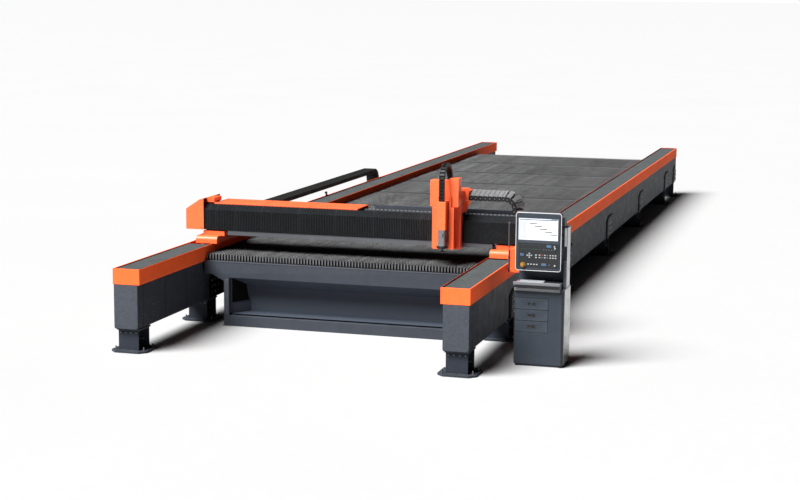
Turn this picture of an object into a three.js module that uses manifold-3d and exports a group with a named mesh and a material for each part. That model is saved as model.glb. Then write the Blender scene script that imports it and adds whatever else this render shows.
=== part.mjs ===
// Large-format gantry cutting machine: two floor-standing rails, a slat bed between them, a travelling
// gantry with a carriage and a cutting head, and a free-standing operator console.
// Millimetres, +X across the machine, +Y along the rails away from the front, +Z up.
import * as THREE from "three";
import * as BufferGeometryUtils from "three/addons/utils/BufferGeometryUtils.js";
import Module from "manifold-3d";

const wasm = await Module();
wasm.setup();

// ---- driving dimensions ----------------------------------------------------------------------------
const GAP = 0.4; // clearance between neighbouring pieces
const MACHINE_WIDTH = 4290; // over both rail covers
const RAIL_LENGTH = 18300;
const RAIL_WIDTH = 339; // over one rail cover
const RAIL_TOP = 1000;
const COVER_SKIRT = 186; // height of the orange rail cover
const COVER_SHEET = 6;
const COVER_LIP = 15; // width of the lip along the top of the cover
const BEAM_INSET = 8; // from the cover's outer face to the beam
const BEAM_WIDTH = 304;
const BEAM_BOTTOM = 283;
const BEAM_TOP = 880;
const BEAM_WALL = 14;
const BEAM_CORNER = 26;
const LEG_POSITIONS = [60, 2100, 5700, 9300, 12900, 16500, 17930]; // front of each column
const LEG_FLANGE = 255;
const LEG_DEPTH = 300;
const LEG_STEEL = 18;
const FOOT_PLATE = { width: 450, depth: 430, thick: 25, chamfer: 75 };

const BED_FRONT = 1900;
const BED_REAR = 16600;
const BED_LEFT = 342;
const BED_RIGHT = MACHINE_WIDTH - BED_LEFT - 18;
const BED_TOP = 818;
const SLAT_TOP = 905;
const SLAT_COUNT = 91;
const SLAT_THICK = 4;
const BED_POST = { outer: 605, inner: 675 };

const GANTRY_FRONT = 2250; // front of the gantry's bellows
const GANTRY_BOTTOM = 1168; // bottom of the gantry's bellows
const BEAM_FACE = 2340; // front face of the gantry beam
const BEAM_REAR = 2800;
const LEFT_FOOT = 112; // left edge of each gantry foot
const RIGHT_FOOT = 3987;
const FOOT_WIDTH = 288;
const FOOT_FRONT = 2170;
const FOOT_REAR = 3150;
const FOOT_TOP = 1095;
const RIGHT_END = 4305; // where the gantry's right end cover starts
const PINION = { teeth: 20, module: 3 };

const CARRIAGE = { left: 3259, right: 3620, middle: 3439.5 };
// Cable chain of the carriage: its outer side is deeper at the rear than at the front.
const CHAIN = {
  front: 2362, rear: 2602, thinnest: 60, thickest: 115, fixed: 2400, bend: 4125, moving: 3668,
};
const CHAIN_BEND = 90; // inside radius
const CHAIN_AXIS = 1587; // height of the bend's centre
const TROUGH = { left: 2330, right: 4455, front: 2352, floor: 1364, lip: 1517, sheet: 5 };
const LONG_CHAIN = { left: -270, right: -56, height: 70, topZ: 1114, bend: 200 };
const LONG_CHAIN_Y = { moving: 3002, bend: 10500, fixed: 10000 };

const CONSOLE = { left: 4603, right: 5172, front: 818, rear: 1200, shelf: 900, top: 1760 };
const DRAWER = { left: 4612, right: 4989, depth: 300, height: 126, pitch: 131, lowest: 397 };

const ORANGE = 0xf0641e;
const SLATE = 0x4b515a;
const DARK = 0x22262a;
const STEEL = 0x8c9094;

// ---- materials and small helpers -------------------------------------------------------------------
const finishes = {
  orange: { color: ORANGE, roughness: 0.45, metalness: 0.1 },
  slate: { color: SLATE, roughness: 0.5, metalness: 0.2 },
  dark: { color: DARK, roughness: 0.7, metalness: 0 },
  steel: { color: STEEL, roughness: 0.35, metalness: 0.9 },
  silver: { color: 0xb9bec3, roughness: 0.3, metalness: 0.8 },
  screen: { color: 0xe8eef2, roughness: 0.2, metalness: 0 },
  yellow: { color: 0xd8a320, roughness: 0.4, metalness: 0 },
  white: { color: 0xdfe2e4, roughness: 0.4, metalness: 0 },
  red: { color: 0xb03028, roughness: 0.4, metalness: 0 },
};

const machine = new THREE.Group();

function add(name, finish, geometry) {
  const mesh = new THREE.Mesh(geometry, new THREE.MeshStandardMaterial(finishes[finish]));
  mesh.name = name;
  machine.add(mesh);
  return mesh;
}

function box(x0, x1, y0, y1, z0, z1) {
  const geometry = new THREE.BoxGeometry(x1 - x0, y1 - y0, z1 - z0);
  return geometry.translate((x0 + x1) / 2, (y0 + y1) / 2, (z0 + z1) / 2);
}

function outline(points, holes = []) {
  const shape = new THREE.Shape(points.map(([a, b]) => new THREE.Vector2(a, b)));
  for (const hole of holes) {
    shape.holes.push(new THREE.Path(hole.map(([a, b]) => new THREE.Vector2(a, b))));
  }
  return shape;
}

function extrude(shape, depth) {
  return new THREE.ExtrudeGeometry(shape, { depth, steps: 1, bevelEnabled: false, curveSegments: 8 });
}

// A section drawn in Y and Z, run from x0 to x1.
function alongX(points, x0, x1, holes) {
  const basis = new THREE.Matrix4().set(0, 0, 1, x0, 1, 0, 0, 0, 0, 1, 0, 0, 0, 0, 0, 1);
  return extrude(outline(points, holes), x1 - x0).applyMatrix4(basis);
}

// A section drawn in X and Z, run from y0 to y1.
function alongY(points, y0, y1, holes) {
  const basis = new THREE.Matrix4().set(1, 0, 0, 0, 0, 0, -1, y1, 0, 1, 0, 0, 0, 0, 0, 1);
  return extrude(outline(points, holes), y1 - y0).applyMatrix4(basis);
}

// A section drawn in X and Y, run from z0 to z1.
function alongZ(points, z0, z1, holes) {
  return extrude(outline(points, holes), z1 - z0).translate(0, 0, z0);
}

function rectangle(a0, a1, b0, b1) {
  return [[a0, b0], [a1, b0], [a1, b1], [a0, b1]];
}

function arc(a, b, radius, from, to, steps) {
  const points = [];
  for (let i = 0; i <= steps; i += 1) {
    const angle = THREE.MathUtils.degToRad(from + ((to - from) * i) / steps);
    points.push([a + radius * Math.cos(angle), b + radius * Math.sin(angle)]);
  }
  return points;
}

function cylinder(radius, from, to, sides = 24) {
  const start = new THREE.Vector3(...from);
  const end = new THREE.Vector3(...to);
  const geometry = new THREE.CylinderGeometry(radius, radius, start.distanceTo(end), sides);
  const up = new THREE.Vector3(0, 1, 0);
  const turn = new THREE.Quaternion().setFromUnitVectors(up, end.clone().sub(start).normalize());
  const middle = start.add(end).multiplyScalar(0.5);
  return geometry.applyQuaternion(turn).translate(middle.x, middle.y, middle.z);
}

function toSolid(geometry) {
  const bare = geometry.clone();
  bare.deleteAttribute("normal");
  bare.deleteAttribute("uv");
  const merged = BufferGeometryUtils.mergeVertices(bare);
  const vertProperties = new Float32Array(merged.attributes.position.array);
  const triVerts = new Uint32Array(merged.index.array);
  return new wasm.Manifold(new wasm.Mesh({ numProp: 3, vertProperties, triVerts }));
}

function fromSolid(solid) {
  const mesh = solid.getMesh();
  const geometry = new THREE.BufferGeometry();
  geometry.setAttribute("position", new THREE.BufferAttribute(mesh.vertProperties, 3));
  geometry.setIndex(new THREE.BufferAttribute(mesh.triVerts, 1));
  geometry.computeVertexNormals();
  return geometry;
}

function join(first, ...others) {
  return fromSolid(others.reduce((solid, geometry) => solid.add(toSolid(geometry)), toSolid(first)));
}

function cut(first, ...others) {
  return fromSolid(others.reduce((solid, geometry) => solid.subtract(toSolid(geometry)), toSolid(first)));
}

function mirrored(points) {
  return points.map(([x, b]) => [MACHINE_WIDTH - x, b]);
}

// ---- rails -----------------------------------------------------------------------------------------
function legGeometry(y, middle, top) {
  const column = [
    [middle - LEG_FLANGE / 2, y],
    [middle + LEG_FLANGE / 2, y],
    [middle + LEG_FLANGE / 2, y + LEG_STEEL],
    [middle + LEG_STEEL / 2, y + LEG_STEEL],
    [middle + LEG_STEEL / 2, y + LEG_DEPTH - LEG_STEEL],
    [middle + LEG_FLANGE / 2, y + LEG_DEPTH - LEG_STEEL],
    [middle + LEG_FLANGE / 2, y + LEG_DEPTH],
    [middle - LEG_FLANGE / 2, y + LEG_DEPTH],
    [middle - LEG_FLANGE / 2, y + LEG_DEPTH - LEG_STEEL],
    [middle - LEG_STEEL / 2, y + LEG_DEPTH - LEG_STEEL],
    [middle - LEG_STEEL / 2, y + LEG_STEEL],
    [middle - LEG_FLANGE / 2, y + LEG_STEEL],
  ];
  const { width, depth, thick, chamfer } = FOOT_PLATE;
  const left = middle - width / 2;
  const right = middle + width / 2;
  const front = y + (LEG_DEPTH - depth) / 2;
  const rear = front + depth;
  const plate = [
    [left + chamfer, front],
    [right - chamfer, front],
    [right, front + chamfer],
    [right, rear - chamfer],
    [right - chamfer, rear],
    [left + chamfer, rear],
    [left, rear - chamfer],
    [left, front + chamfer],
  ];
  const half = LEG_FLANGE / 2 + 12;
  const head = box(middle - half, middle + half, y - 12, y + LEG_DEPTH + 12, top - LEG_STEEL, top);
  const packer = box(middle - 100, middle + 100, y + 10, y + LEG_DEPTH - 10, top - 2, BEAM_BOTTOM + 2);
  return join(alongZ(column, thick - 1, top - LEG_STEEL + 1), alongZ(plate, 0, thick), head, packer);
}

function railBeamGeometry() {
  const left = BEAM_INSET;
  const right = BEAM_INSET + BEAM_WIDTH;
  const section = [
    ...arc(left + BEAM_CORNER, BEAM_BOTTOM + BEAM_CORNER, BEAM_CORNER, 180, 270, 4),
    ...arc(right - BEAM_CORNER, BEAM_BOTTOM + BEAM_CORNER, BEAM_CORNER, 270, 360, 4),
    [right, BEAM_TOP],
    [left, BEAM_TOP],
  ];
  const wall = BEAM_WALL;
  const inside = box(left + wall, right - wall, 3 + wall, RAIL_LENGTH, BEAM_BOTTOM + wall,
    BEAM_TOP - wall);
  return cut(alongY(section, 3, RAIL_LENGTH - 12), inside);
}

function railCoverGeometry() {
  const outer = rectangle(0, RAIL_WIDTH, -4, RAIL_LENGTH);
  const inner = (rim) => rectangle(rim, RAIL_WIDTH - rim, -4 + rim, RAIL_LENGTH - rim);
  const skirt = alongZ(outer, RAIL_TOP - COVER_SKIRT, RAIL_TOP - 3, [inner(COVER_SHEET)]);
  const lip = alongZ(outer, RAIL_TOP - 5, RAIL_TOP, [inner(COVER_LIP)]);
  return join(skirt, lip);
}

const legMiddle = BEAM_INSET + BEAM_WIDTH / 2;
const beamLegs = LEG_POSITIONS.map((y) => legGeometry(y, legMiddle, BEAM_BOTTOM - 3));
const railFrame = join(railBeamGeometry(), ...beamLegs);
const mirror = (geometry) => {
  const flipped = geometry.toNonIndexed().scale(-1, 1, 1).translate(MACHINE_WIDTH, 0, 0);
  const position = flipped.attributes.position;
  for (let i = 0; i < position.count; i += 3) {
    const spare = [position.getX(i), position.getY(i), position.getZ(i)];
    position.setXYZ(i, position.getX(i + 1), position.getY(i + 1), position.getZ(i + 1));
    position.setXYZ(i + 1, ...spare);
  }
  return flipped;
};

add("left_rail_frame", "slate", railFrame);
add("right_rail_frame", "slate", mirror(railFrame));
const railCover = railCoverGeometry();
add("left_rail_cover", "orange", railCover);
add("right_rail_cover", "orange", mirror(railCover));

// Guide rail and rack inside each cover, under the bellows.
const GUIDE = { width: 45, height: 45, offset: 140 };
const RACK = { left: 211, right: 241, height: 34 };
const guideSpan = [60, RAIL_LENGTH - 60];

function trackPieces(side, railLeft) {
  const base = BEAM_TOP + GAP;
  const guideLeft = railLeft + GUIDE.offset;
  const guide = box(guideLeft, guideLeft + GUIDE.width, ...guideSpan, base, base + GUIDE.height);
  const rack = box(railLeft + RACK.left, railLeft + RACK.right, ...guideSpan, base, base + RACK.height);
  add(`${side}_guide_rail`, "steel", guide);
  add(`${side}_rack`, "steel", rack);
}
const LEFT_TRACK = 0;
const RIGHT_TRACK = 3950;
trackPieces("left", LEFT_TRACK);
trackPieces("right", RIGHT_TRACK);

function railBellows(side, railLeft) {
  const left = railLeft + COVER_LIP + 6;
  const right = railLeft + RAIL_WIDTH - COVER_LIP - 6;
  add(`${side}_front_bellows`, "dark", box(left, right, 26, FOOT_FRONT - 2, 968, 990));
  add(`${side}_rear_bellows`, "dark", box(left, right, FOOT_REAR + 2, RAIL_LENGTH - 30, 968, 990));
}
railBellows("left", 0);
railBellows("right", MACHINE_WIDTH - RAIL_WIDTH);

// ---- bed -------------------------------------------------------------------------------------------
function bedFrontGeometry() {
  const half = [
    [BED_LEFT, BED_TOP],
    [BED_LEFT, 660],
    [428, 659],
    [BED_POST.outer, 576],
    [BED_POST.outer, 0],
  ];
  const other = mirrored(half).map(([x, z]) => [Math.min(x, BED_RIGHT), z]).reverse();
  const inner = BED_POST.inner;
  const opening = rectangle(inner, MACHINE_WIDTH - inner, 135, 622);
  return alongY([...half, ...other], BED_FRONT, BED_FRONT + 60, [opening]);
}
add("bed_front_frame", "slate", bedFrontGeometry());

const BED_RECESS = { depth: 230, slant: 190, sheet: 6, top: 618, bend: 470, bottom: 150 };
function bedPanelGeometry() {
  const { depth, slant, sheet, top, bend, bottom } = BED_RECESS;
  const front = BED_FRONT + 62;
  const rear = front + depth + sheet;
  const left = BED_POST.inner - 6;
  const section = [
    [front, top],
    [front + depth, bend],
    [front + depth, bottom],
    [rear, bottom],
    [rear, bend + 4],
    [front + sheet, top + 4],
  ];
  const endSheet = [[left, front], [left + sheet, front], [left + slant + sheet, rear], [left + slant, rear]];
  const aboveSlope = [
    [front - 1, top + 1],
    [rear + 1, bend + 3],
    [rear + 1, top + 90],
    [front - 1, top + 90],
  ];
  const end = cut(alongZ(endSheet, bottom, top), alongX(aboveSlope, left - 20, left + slant + 20));
  const slope = slant / (rear - front);
  const beyond = [
    [left - 90, front - 5],
    [left - 5 * slope, front - 5],
    [left + slant + 5 * slope, rear + 5],
    [left - 90, rear + 5],
  ];
  const outside = alongZ(beyond, 0, 700);
  const panel = alongX(section, left - 80, MACHINE_WIDTH - left + 80);
  return join(cut(panel, outside, mirror(outside)), end, mirror(end));
}
add("bed_front_panel", "slate", bedPanelGeometry());

function bedBaseGeometry() {
  const left = BED_LEFT + 4;
  const right = BED_RIGHT - 4;
  const front = BED_FRONT + 62;
  const rows = 8;
  const web = 60;
  const pitch = (BED_REAR - front - web) / rows;
  const middle = (left + right - web) / 2;
  const bars = [];
  for (const x of [middle, right - web]) {
    bars.push(box(x, x + web, front, BED_REAR, 640, BED_TOP - 3));
  }
  for (let row = 0; row <= rows; row += 1) {
    const y = front + row * pitch;
    bars.push(box(left, right, y, y + web, 650, BED_TOP - 6));
    for (const x of [left + 50, right - 50 - web]) {
      if (row > 0) bars.push(box(x, x + web, y, y + web, 0, 651));
    }
  }
  return join(box(left, left + web, front, BED_REAR, 640, BED_TOP - 3), ...bars);
}
add("bed_base_frame", "slate", bedBaseGeometry());

function slatFieldGeometry() {
  const left = BED_LEFT + 10;
  const right = BED_RIGHT - 10;
  const pitch = (right - left - SLAT_THICK) / (SLAT_COUNT - 1);
  const floor = BED_TOP + 3;
  const points = [[left, BED_TOP], [right, BED_TOP]];
  for (let i = SLAT_COUNT - 1; i >= 0; i -= 1) {
    const x = left + i * pitch;
    points.push([x + SLAT_THICK, i === SLAT_COUNT - 1 ? SLAT_TOP : floor]);
    if (i !== SLAT_COUNT - 1) points.push([x + SLAT_THICK, SLAT_TOP]);
    points.push([x, SLAT_TOP]);
    if (i !== 0) points.push([x, floor]);
  }
  return alongY(points, BED_FRONT + 62, BED_REAR - 40);
}
add("slat_field", "steel", slatFieldGeometry());

// ---- cable chain beside the left rail --------------------------------------------------------------
function bendSection(a, b, radius, height, from, to, tail) {
  const outer = arc(a, b, radius + height / 2, from, to, 10);
  const inner = arc(a, b, radius - height / 2, to, from, 10);
  const half = height / 2;
  const low = [[a - tail, b - radius + half], [a - tail, b - radius - half]];
  const high = [[a - tail, b + radius + half], [a - tail, b + radius - half]];
  return [...low, ...outer, ...high, ...inner];
}

const longLowZ = LONG_CHAIN.topZ - 2 * LONG_CHAIN.bend;
const longMiddleZ = LONG_CHAIN.topZ - LONG_CHAIN.bend;
const halfLong = LONG_CHAIN.height / 2;
const LOOP_TAIL = 60;

function chainTrayGeometry() {
  const left = LONG_CHAIN.left - 16;
  const right = LONG_CHAIN.right + 14;
  const floor = longLowZ - halfLong - 8;
  const wall = longLowZ + halfLong + 10;
  const section = [
    [left, wall],
    [left, floor],
    [right, floor],
    [right, wall],
    [right - 5, wall],
    [right - 5, floor + 5],
    [left + 5, floor + 5],
    [left + 5, wall],
  ];
  const pieces = [];
  for (const y of LEG_POSITIONS.slice(4)) {
    pieces.push(box(left, BEAM_INSET - GAP, y + 60, y + 140, floor - 60, floor + 1));
  }
  return join(alongY(section, LONG_CHAIN_Y.fixed - 160, RAIL_LENGTH - 150), ...pieces);
}
add("chain_tray", "slate", chainTrayGeometry());

function longChainRun(name, y0, y1, z) {
  const points = rectangle(LONG_CHAIN.left, LONG_CHAIN.right, z - halfLong, z + halfLong);
  add(name, "dark", alongY(points, y0, y1));
}
const loopStart = LONG_CHAIN_Y.bend - LOOP_TAIL;
longChainRun("long_chain_lower_run", LONG_CHAIN_Y.fixed, loopStart - GAP, longLowZ);
longChainRun("long_chain_upper_run", LONG_CHAIN_Y.moving, loopStart - GAP, LONG_CHAIN.topZ);
const longLoop = bendSection(
  LONG_CHAIN_Y.bend, longMiddleZ, LONG_CHAIN.bend, LONG_CHAIN.height, -90, 90, LOOP_TAIL,
);
add("long_chain_bend", "dark", alongX(longLoop, LONG_CHAIN.left, LONG_CHAIN.right));

// ---- gantry ----------------------------------------------------------------------------------------
function gantryFootGeometry(left, nose, track) {
  const right = left + FOOT_WIDTH;
  const round = 50;
  const low = RAIL_TOP + 3;
  const side = [
    [FOOT_FRONT, low],
    [BEAM_FACE, low],
    [BEAM_FACE, FOOT_TOP],
    ...arc(FOOT_FRONT + round, FOOT_TOP - round, round, 90, 180, 6),
  ];
  const front = alongX(side, left, left + nose);
  const block = box(left, right, BEAM_FACE - 1, FOOT_REAR, low, FOOT_TOP);
  const pedestalRight = Math.min(right + 65, MACHINE_WIDTH + 2);
  const pedestalTop = GANTRY_BOTTOM - 16;
  const pedestalRear = FOOT_REAR - 200;
  const pedestal = box(left + 63, pedestalRight, FOOT_FRONT + 100, pedestalRear, FOOT_TOP - 2, pedestalTop);
  const guideLeft = track + GUIDE.offset;
  const guideRight = guideLeft + GUIDE.width;
  const guideTop = BEAM_TOP + GAP + GUIDE.height + 1;
  const saddle = [
    [guideLeft - 28, low + 2],
    [guideLeft - 28, BEAM_TOP + 25],
    [guideLeft - 1, BEAM_TOP + 25],
    [guideLeft - 1, guideTop],
    [guideRight + 1, guideTop],
    [guideRight + 1, BEAM_TOP + 25],
    [guideRight + 22, BEAM_TOP + 25],
    [guideRight + 22, 930],
    [track + 300, 930],
    [track + 300, low + 2],
  ];
  const carrier = alongY(saddle, FOOT_FRONT + 180, FOOT_REAR - 30);
  const bore = cylinder(18, [track + pinionX, pinionY, 900], [track + pinionX, pinionY, 1200]);
  return cut(join(block, front, pedestal, carrier), bore);
}

const pinionRadius = (PINION.teeth * PINION.module) / 2;
const pinionX = RACK.right + pinionRadius + PINION.module + 0.5;
const pinionY = FOOT_REAR - 110;

function gearGeometry(height) {
  const points = [];
  const tip = pinionRadius + PINION.module;
  const root = pinionRadius - 1.25 * PINION.module;
  for (let tooth = 0; tooth < PINION.teeth; tooth += 1) {
    const step = 360 / PINION.teeth;
    const corners = [[0, root], [0.25, tip], [0.5, tip], [0.75, root]];
    for (const [share, radius] of corners) {
      const angle = THREE.MathUtils.degToRad((tooth + share) * step);
      points.push([radius * Math.cos(angle), radius * Math.sin(angle)]);
    }
  }
  return alongZ(points, 0, height);
}

function drivePieces(side, left, nose, track) {
  add(`${side}_gantry_foot`, "orange", gantryFootGeometry(left, nose, track));
  const x = track + pinionX;
  const gear = gearGeometry(26).translate(x, pinionY, BEAM_TOP + 6);
  const shaft = cylinder(14, [x, pinionY, BEAM_TOP + 20], [x, pinionY, FOOT_TOP - 2]);
  add(`${side}_drive_pinion`, "steel", join(gear, shaft));
  const gearbox = box(x - 70, x + 70, pinionY - 70, pinionY + 70, FOOT_TOP + GAP, 1190);
  const motor = box(x - 55, x + 55, pinionY - 55, pinionY + 55, 1189, 1400);
  add(`${side}_drive_motor`, "dark", join(gearbox, motor));
}
drivePieces("left", LEFT_FOOT, FOOT_WIDTH, LEFT_TRACK);
drivePieces("right", RIGHT_FOOT, 238, RIGHT_TRACK);

const COVER_TOP = 1571;
const LEFT_END = 190; // where the left end cover meets the bellows
const BEAM_LID = TROUGH.floor - 4;

function gantryBeamGeometry() {
  const bottom = GANTRY_BOTTOM - 14;
  const wall = 14;
  const flange = TROUGH.front - 1;
  const section = [
    [BEAM_FACE, bottom],
    [BEAM_REAR, bottom],
    [BEAM_REAR, BEAM_LID],
    [flange, BEAM_LID],
    [flange, 1486],
    [BEAM_FACE, 1486],
  ];
  const hollow = rectangle(BEAM_FACE + wall, BEAM_REAR - wall, bottom + wall, BEAM_LID - wall);
  return alongX(section, LEFT_END + 2, RIGHT_END - 2, [hollow]);
}
add("gantry_beam", "slate", gantryBeamGeometry());

function beamLowerStripGeometry() {
  const bottom = GANTRY_BOTTOM - 60;
  const section = [
    [GANTRY_FRONT + 14, bottom],
    [BEAM_FACE + 60, bottom],
    [BEAM_FACE + 60, GANTRY_BOTTOM - 15],
    [BEAM_FACE - 1, GANTRY_BOTTOM - 15],
    [BEAM_FACE - 1, GANTRY_BOTTOM - 3],
    [GANTRY_FRONT + 14, GANTRY_BOTTOM - 3],
  ];
  return alongX(section, 514, RIGHT_FOOT + 13);
}
add("beam_lower_strip", "silver", beamLowerStripGeometry());

const BEAM_GUIDE = { depth: 32, height: 36, low: 1208, high: 1404 };
const beamSpan = [230, RIGHT_END - 20];
for (const [name, z] of [["beam_lower_guide", BEAM_GUIDE.low], ["beam_upper_guide", BEAM_GUIDE.high]]) {
  const face = BEAM_FACE - GAP;
  add(name, "steel", box(...beamSpan, face - BEAM_GUIDE.depth, face, z, z + BEAM_GUIDE.height));
}
const BEAM_RACK = { depth: 30, low: 1268, high: 1298 };
add("beam_rack", "steel", box(...beamSpan, BEAM_FACE - GAP - BEAM_RACK.depth, BEAM_FACE - GAP,
  BEAM_RACK.low, BEAM_RACK.high));

function beamBellowsGeometry(x0, x1) {
  const section = [
    [GANTRY_FRONT, GANTRY_BOTTOM],
    [GANTRY_FRONT + 24, GANTRY_BOTTOM],
    [GANTRY_FRONT + 24, 1420],
    [GANTRY_FRONT + 84, 1484],
    [GANTRY_FRONT + 84, 1506],
    [GANTRY_FRONT + 70, 1506],
    [GANTRY_FRONT, 1430],
  ];
  return alongX(section, x0, x1);
}
add("left_beam_bellows", "dark", beamBellowsGeometry(LEFT_END + 2, CARRIAGE.left - 1));
add("right_beam_bellows", "dark", beamBellowsGeometry(CARRIAGE.right + 1, RIGHT_END - 1));

const COVER_WALL = 6;
const COVER_FRONT = GANTRY_FRONT - 8;

function leftEndGeometry() {
  const left = -52;
  const slope = 1431;
  const side = (wall) => [
    [left + wall, GANTRY_BOTTOM + wall],
    [LEFT_END + wall, GANTRY_BOTTOM + wall],
    [LEFT_END + wall, COVER_TOP - wall],
    [LEFT_END - 55, COVER_TOP - 15 - wall],
    [left + wall, slope - wall],
  ];
  const solid = alongY(side(0), COVER_FRONT, BEAM_REAR);
  const hollow = alongY(side(COVER_WALL), COVER_FRONT + COVER_WALL, BEAM_REAR - COVER_WALL);
  const hood = box(LEFT_END - 3, 296, BEAM_FACE + 12, BEAM_REAR - 210, 1514, COVER_TOP);
  const armLeft = LONG_CHAIN.left - 6;
  const arm = box(armLeft, 100, BEAM_REAR - 4, LONG_CHAIN_Y.moving - 2, 1170, 1192);
  const clampTop = LONG_CHAIN.topZ - halfLong;
  const clamp = box(armLeft, LONG_CHAIN.right + 2, 2960, LONG_CHAIN_Y.moving - 2, clampTop, 1171);
  return join(cut(solid, hollow), hood, arm, clamp);
}
add("left_end_cover", "orange", leftEndGeometry());

function rightEndGeometry() {
  const left = RIGHT_END;
  const right = RIGHT_END + 157;
  const cheekRear = TROUGH.front - 8;
  const shell = box(left, right, COVER_FRONT, BEAM_REAR, GANTRY_BOTTOM, BEAM_LID);
  const cheek = box(left, right, COVER_FRONT, cheekRear, BEAM_LID - 1, COVER_TOP);
  const apron = 1810; // front of the apron that hangs outside the right rail
  const skirt = box(left, right, apron, BEAM_REAR, 905, GANTRY_BOTTOM + 1);
  const post = box(left + 1, left + 11, apron - 10, apron + 1, 905, 1498);
  const wall = COVER_WALL;
  const rear = BEAM_REAR - wall;
  const front = COVER_FRONT + wall;
  const inside = box(left - wall, right - wall, front, rear, GANTRY_BOTTOM + wall, BEAM_LID - wall);
  const inSkirt = box(left - wall, right - wall, apron + wall, rear, 800, GANTRY_BOTTOM + 2 * wall);
  const lidFront = box(left - wall, right + wall, apron - wall, COVER_FRONT - 1, GANTRY_BOTTOM - wall, 1200);
  const lid = box(left, right, apron, COVER_FRONT + wall, GANTRY_BOTTOM - wall, GANTRY_BOTTOM + 1);
  return join(cut(join(shell, cheek, skirt), inside, inSkirt, lidFront), lid, post);
}
add("right_end_cover", "orange", rightEndGeometry());

function topCoverGeometry() {
  const front = BEAM_FACE - 4;
  const rear = BEAM_REAR + 8;
  const section = [
    [front, 1490],
    [front + 3, 1490],
    [front + 3, 1504],
    [rear - 6, 1504],
    [rear - 6, 1330],
    [rear, 1330],
    [rear, 1510],
    [front, 1510],
  ];
  return alongX(section, 302, TROUGH.left - 90);
}
add("beam_top_cover", "orange", topCoverGeometry());

function chainTroughGeometry() {
  const { left, right, front, floor, lip, sheet } = TROUGH;
  const rear = BEAM_REAR - 8;
  const section = [
    [front, lip],
    [front, floor],
    [rear, floor],
    [rear, lip],
    [rear - sheet, lip],
    [rear - sheet, floor + sheet],
    [front + sheet, floor + sheet],
    [front + sheet, lip],
  ];
  return alongX(section, left, right);
}
add("chain_trough", "slate", chainTroughGeometry());

// Joins a row of matching closed rings into one solid.
function loft(rings) {
  const count = rings[0].length;
  const last = (rings.length - 1) * count;
  const indices = [];
  for (let ring = 0; ring < rings.length - 1; ring += 1) {
    for (let i = 0; i < count; i += 1) {
      const a = ring * count + i;
      const b = ring * count + ((i + 1) % count);
      indices.push(a, b, a + count, b, b + count, a + count);
    }
  }
  for (let i = 1; i < count - 1; i += 1) {
    indices.push(0, i + 1, i, last, last + i, last + i + 1);
  }
  const geometry = new THREE.BufferGeometry();
  const points = rings.flat(2);
  geometry.setAttribute("position", new THREE.BufferAttribute(new Float32Array(points), 3));
  geometry.setIndex(indices);
  geometry.computeVertexNormals();
  return geometry;
}

// One section of the chain at an angle round the bend, from 90 (upper run) to -90 (lower run).
function chainSection(x, angle) {
  const turn = THREE.MathUtils.degToRad(angle);
  const { front, rear, thickest, thinnest } = CHAIN;
  const corners = [[front, 0], [rear, 0], [rear, thickest], [front, thinnest]];
  return corners.map(([y, height]) => {
    const radius = CHAIN_BEND + height;
    return [x + radius * Math.cos(turn), y, CHAIN_AXIS + radius * Math.sin(turn)];
  });
}

const bendStart = CHAIN.bend - 40;
const chainRun = (angle, x0, x1) => loft([chainSection(x0, angle), chainSection(x1, angle)]);
add("beam_chain_upper_run", "dark", chainRun(90, CHAIN.moving, bendStart - GAP));
add("beam_chain_lower_run", "dark", chainRun(-90, bendStart - GAP, CHAIN.fixed));
const bendRings = [chainSection(bendStart, 90)];
for (let step = 0; step <= 10; step += 1) {
  bendRings.push(chainSection(CHAIN.bend, 90 - 18 * step));
}
bendRings.push(chainSection(bendStart, -90));
add("beam_chain_bend", "dark", loft(bendRings));

// ---- carriage --------------------------------------------------------------------------------------
const CHANNEL = { left: 3375, right: 3504, rear: 2150 };

function carriageBodyGeometry() {
  const { left, right, middle } = CARRIAGE;
  const plate = box(left, right, 2165, 2244, 1090, 1622);
  const frontBox = box(3309, 3570, 2020, 2168, 1105, 1622);
  const leftEar = box(3345, CHANNEL.left + 1, 2020, 2046, 1600, 1758);
  const rightEar = box(CHANNEL.right - 1, 3534, 2020, 2046, 1600, 1758);
  const runner = (z) => {
    const face = BEAM_FACE - GAP - BEAM_GUIDE.depth;
    const section = [
      [2240, z - 26],
      [BEAM_FACE - 8, z - 26],
      [BEAM_FACE - 8, z - 1],
      [face - 1, z - 1],
      [face - 1, z + BEAM_GUIDE.height + 1],
      [BEAM_FACE - 8, z + BEAM_GUIDE.height + 1],
      [BEAM_FACE - 8, z + BEAM_GUIDE.height + 20],
      [2240, z + BEAM_GUIDE.height + 20],
    ];
    return alongX(section, left + 4, right - 4);
  };
  const whole = join(plate, frontBox, leftEar, rightEar, runner(BEAM_GUIDE.low), runner(BEAM_GUIDE.high));
  const channel = box(CHANNEL.left, CHANNEL.right, 2000, CHANNEL.rear, 1000, 1900);
  const bore = cylinder(17, [middle, 2140, carriagePinionZ], [middle, 2300, carriagePinionZ]);
  return cut(whole, channel, bore);
}

const carriagePinionZ = BEAM_RACK.high + pinionRadius + PINION.module + 0.5;
add("carriage_body", "orange", carriageBodyGeometry());

function carriagePinionGeometry() {
  const gear = gearGeometry(24).rotateX(Math.PI / 2).translate(CARRIAGE.middle, 2334, carriagePinionZ);
  const { middle } = CARRIAGE;
  const shaft = cylinder(14, [middle, 2158, carriagePinionZ], [middle, 2320, carriagePinionZ]);
  return join(gear, shaft);
}
add("carriage_pinion", "steel", carriagePinionGeometry());

function carriageHousingGeometry() {
  const shell = box(3262, 3618, 2047, 2194, 1624, 1945);
  const cap = box(3504, 3618, 2047, 2194, 1940, 1976);
  const slot = box(CHANNEL.left, CHANNEL.right, 2000, 2120, 1500, 2000);
  return cut(join(shell, cap), slot);
}
add("carriage_housing", "orange", carriageHousingGeometry());

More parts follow.
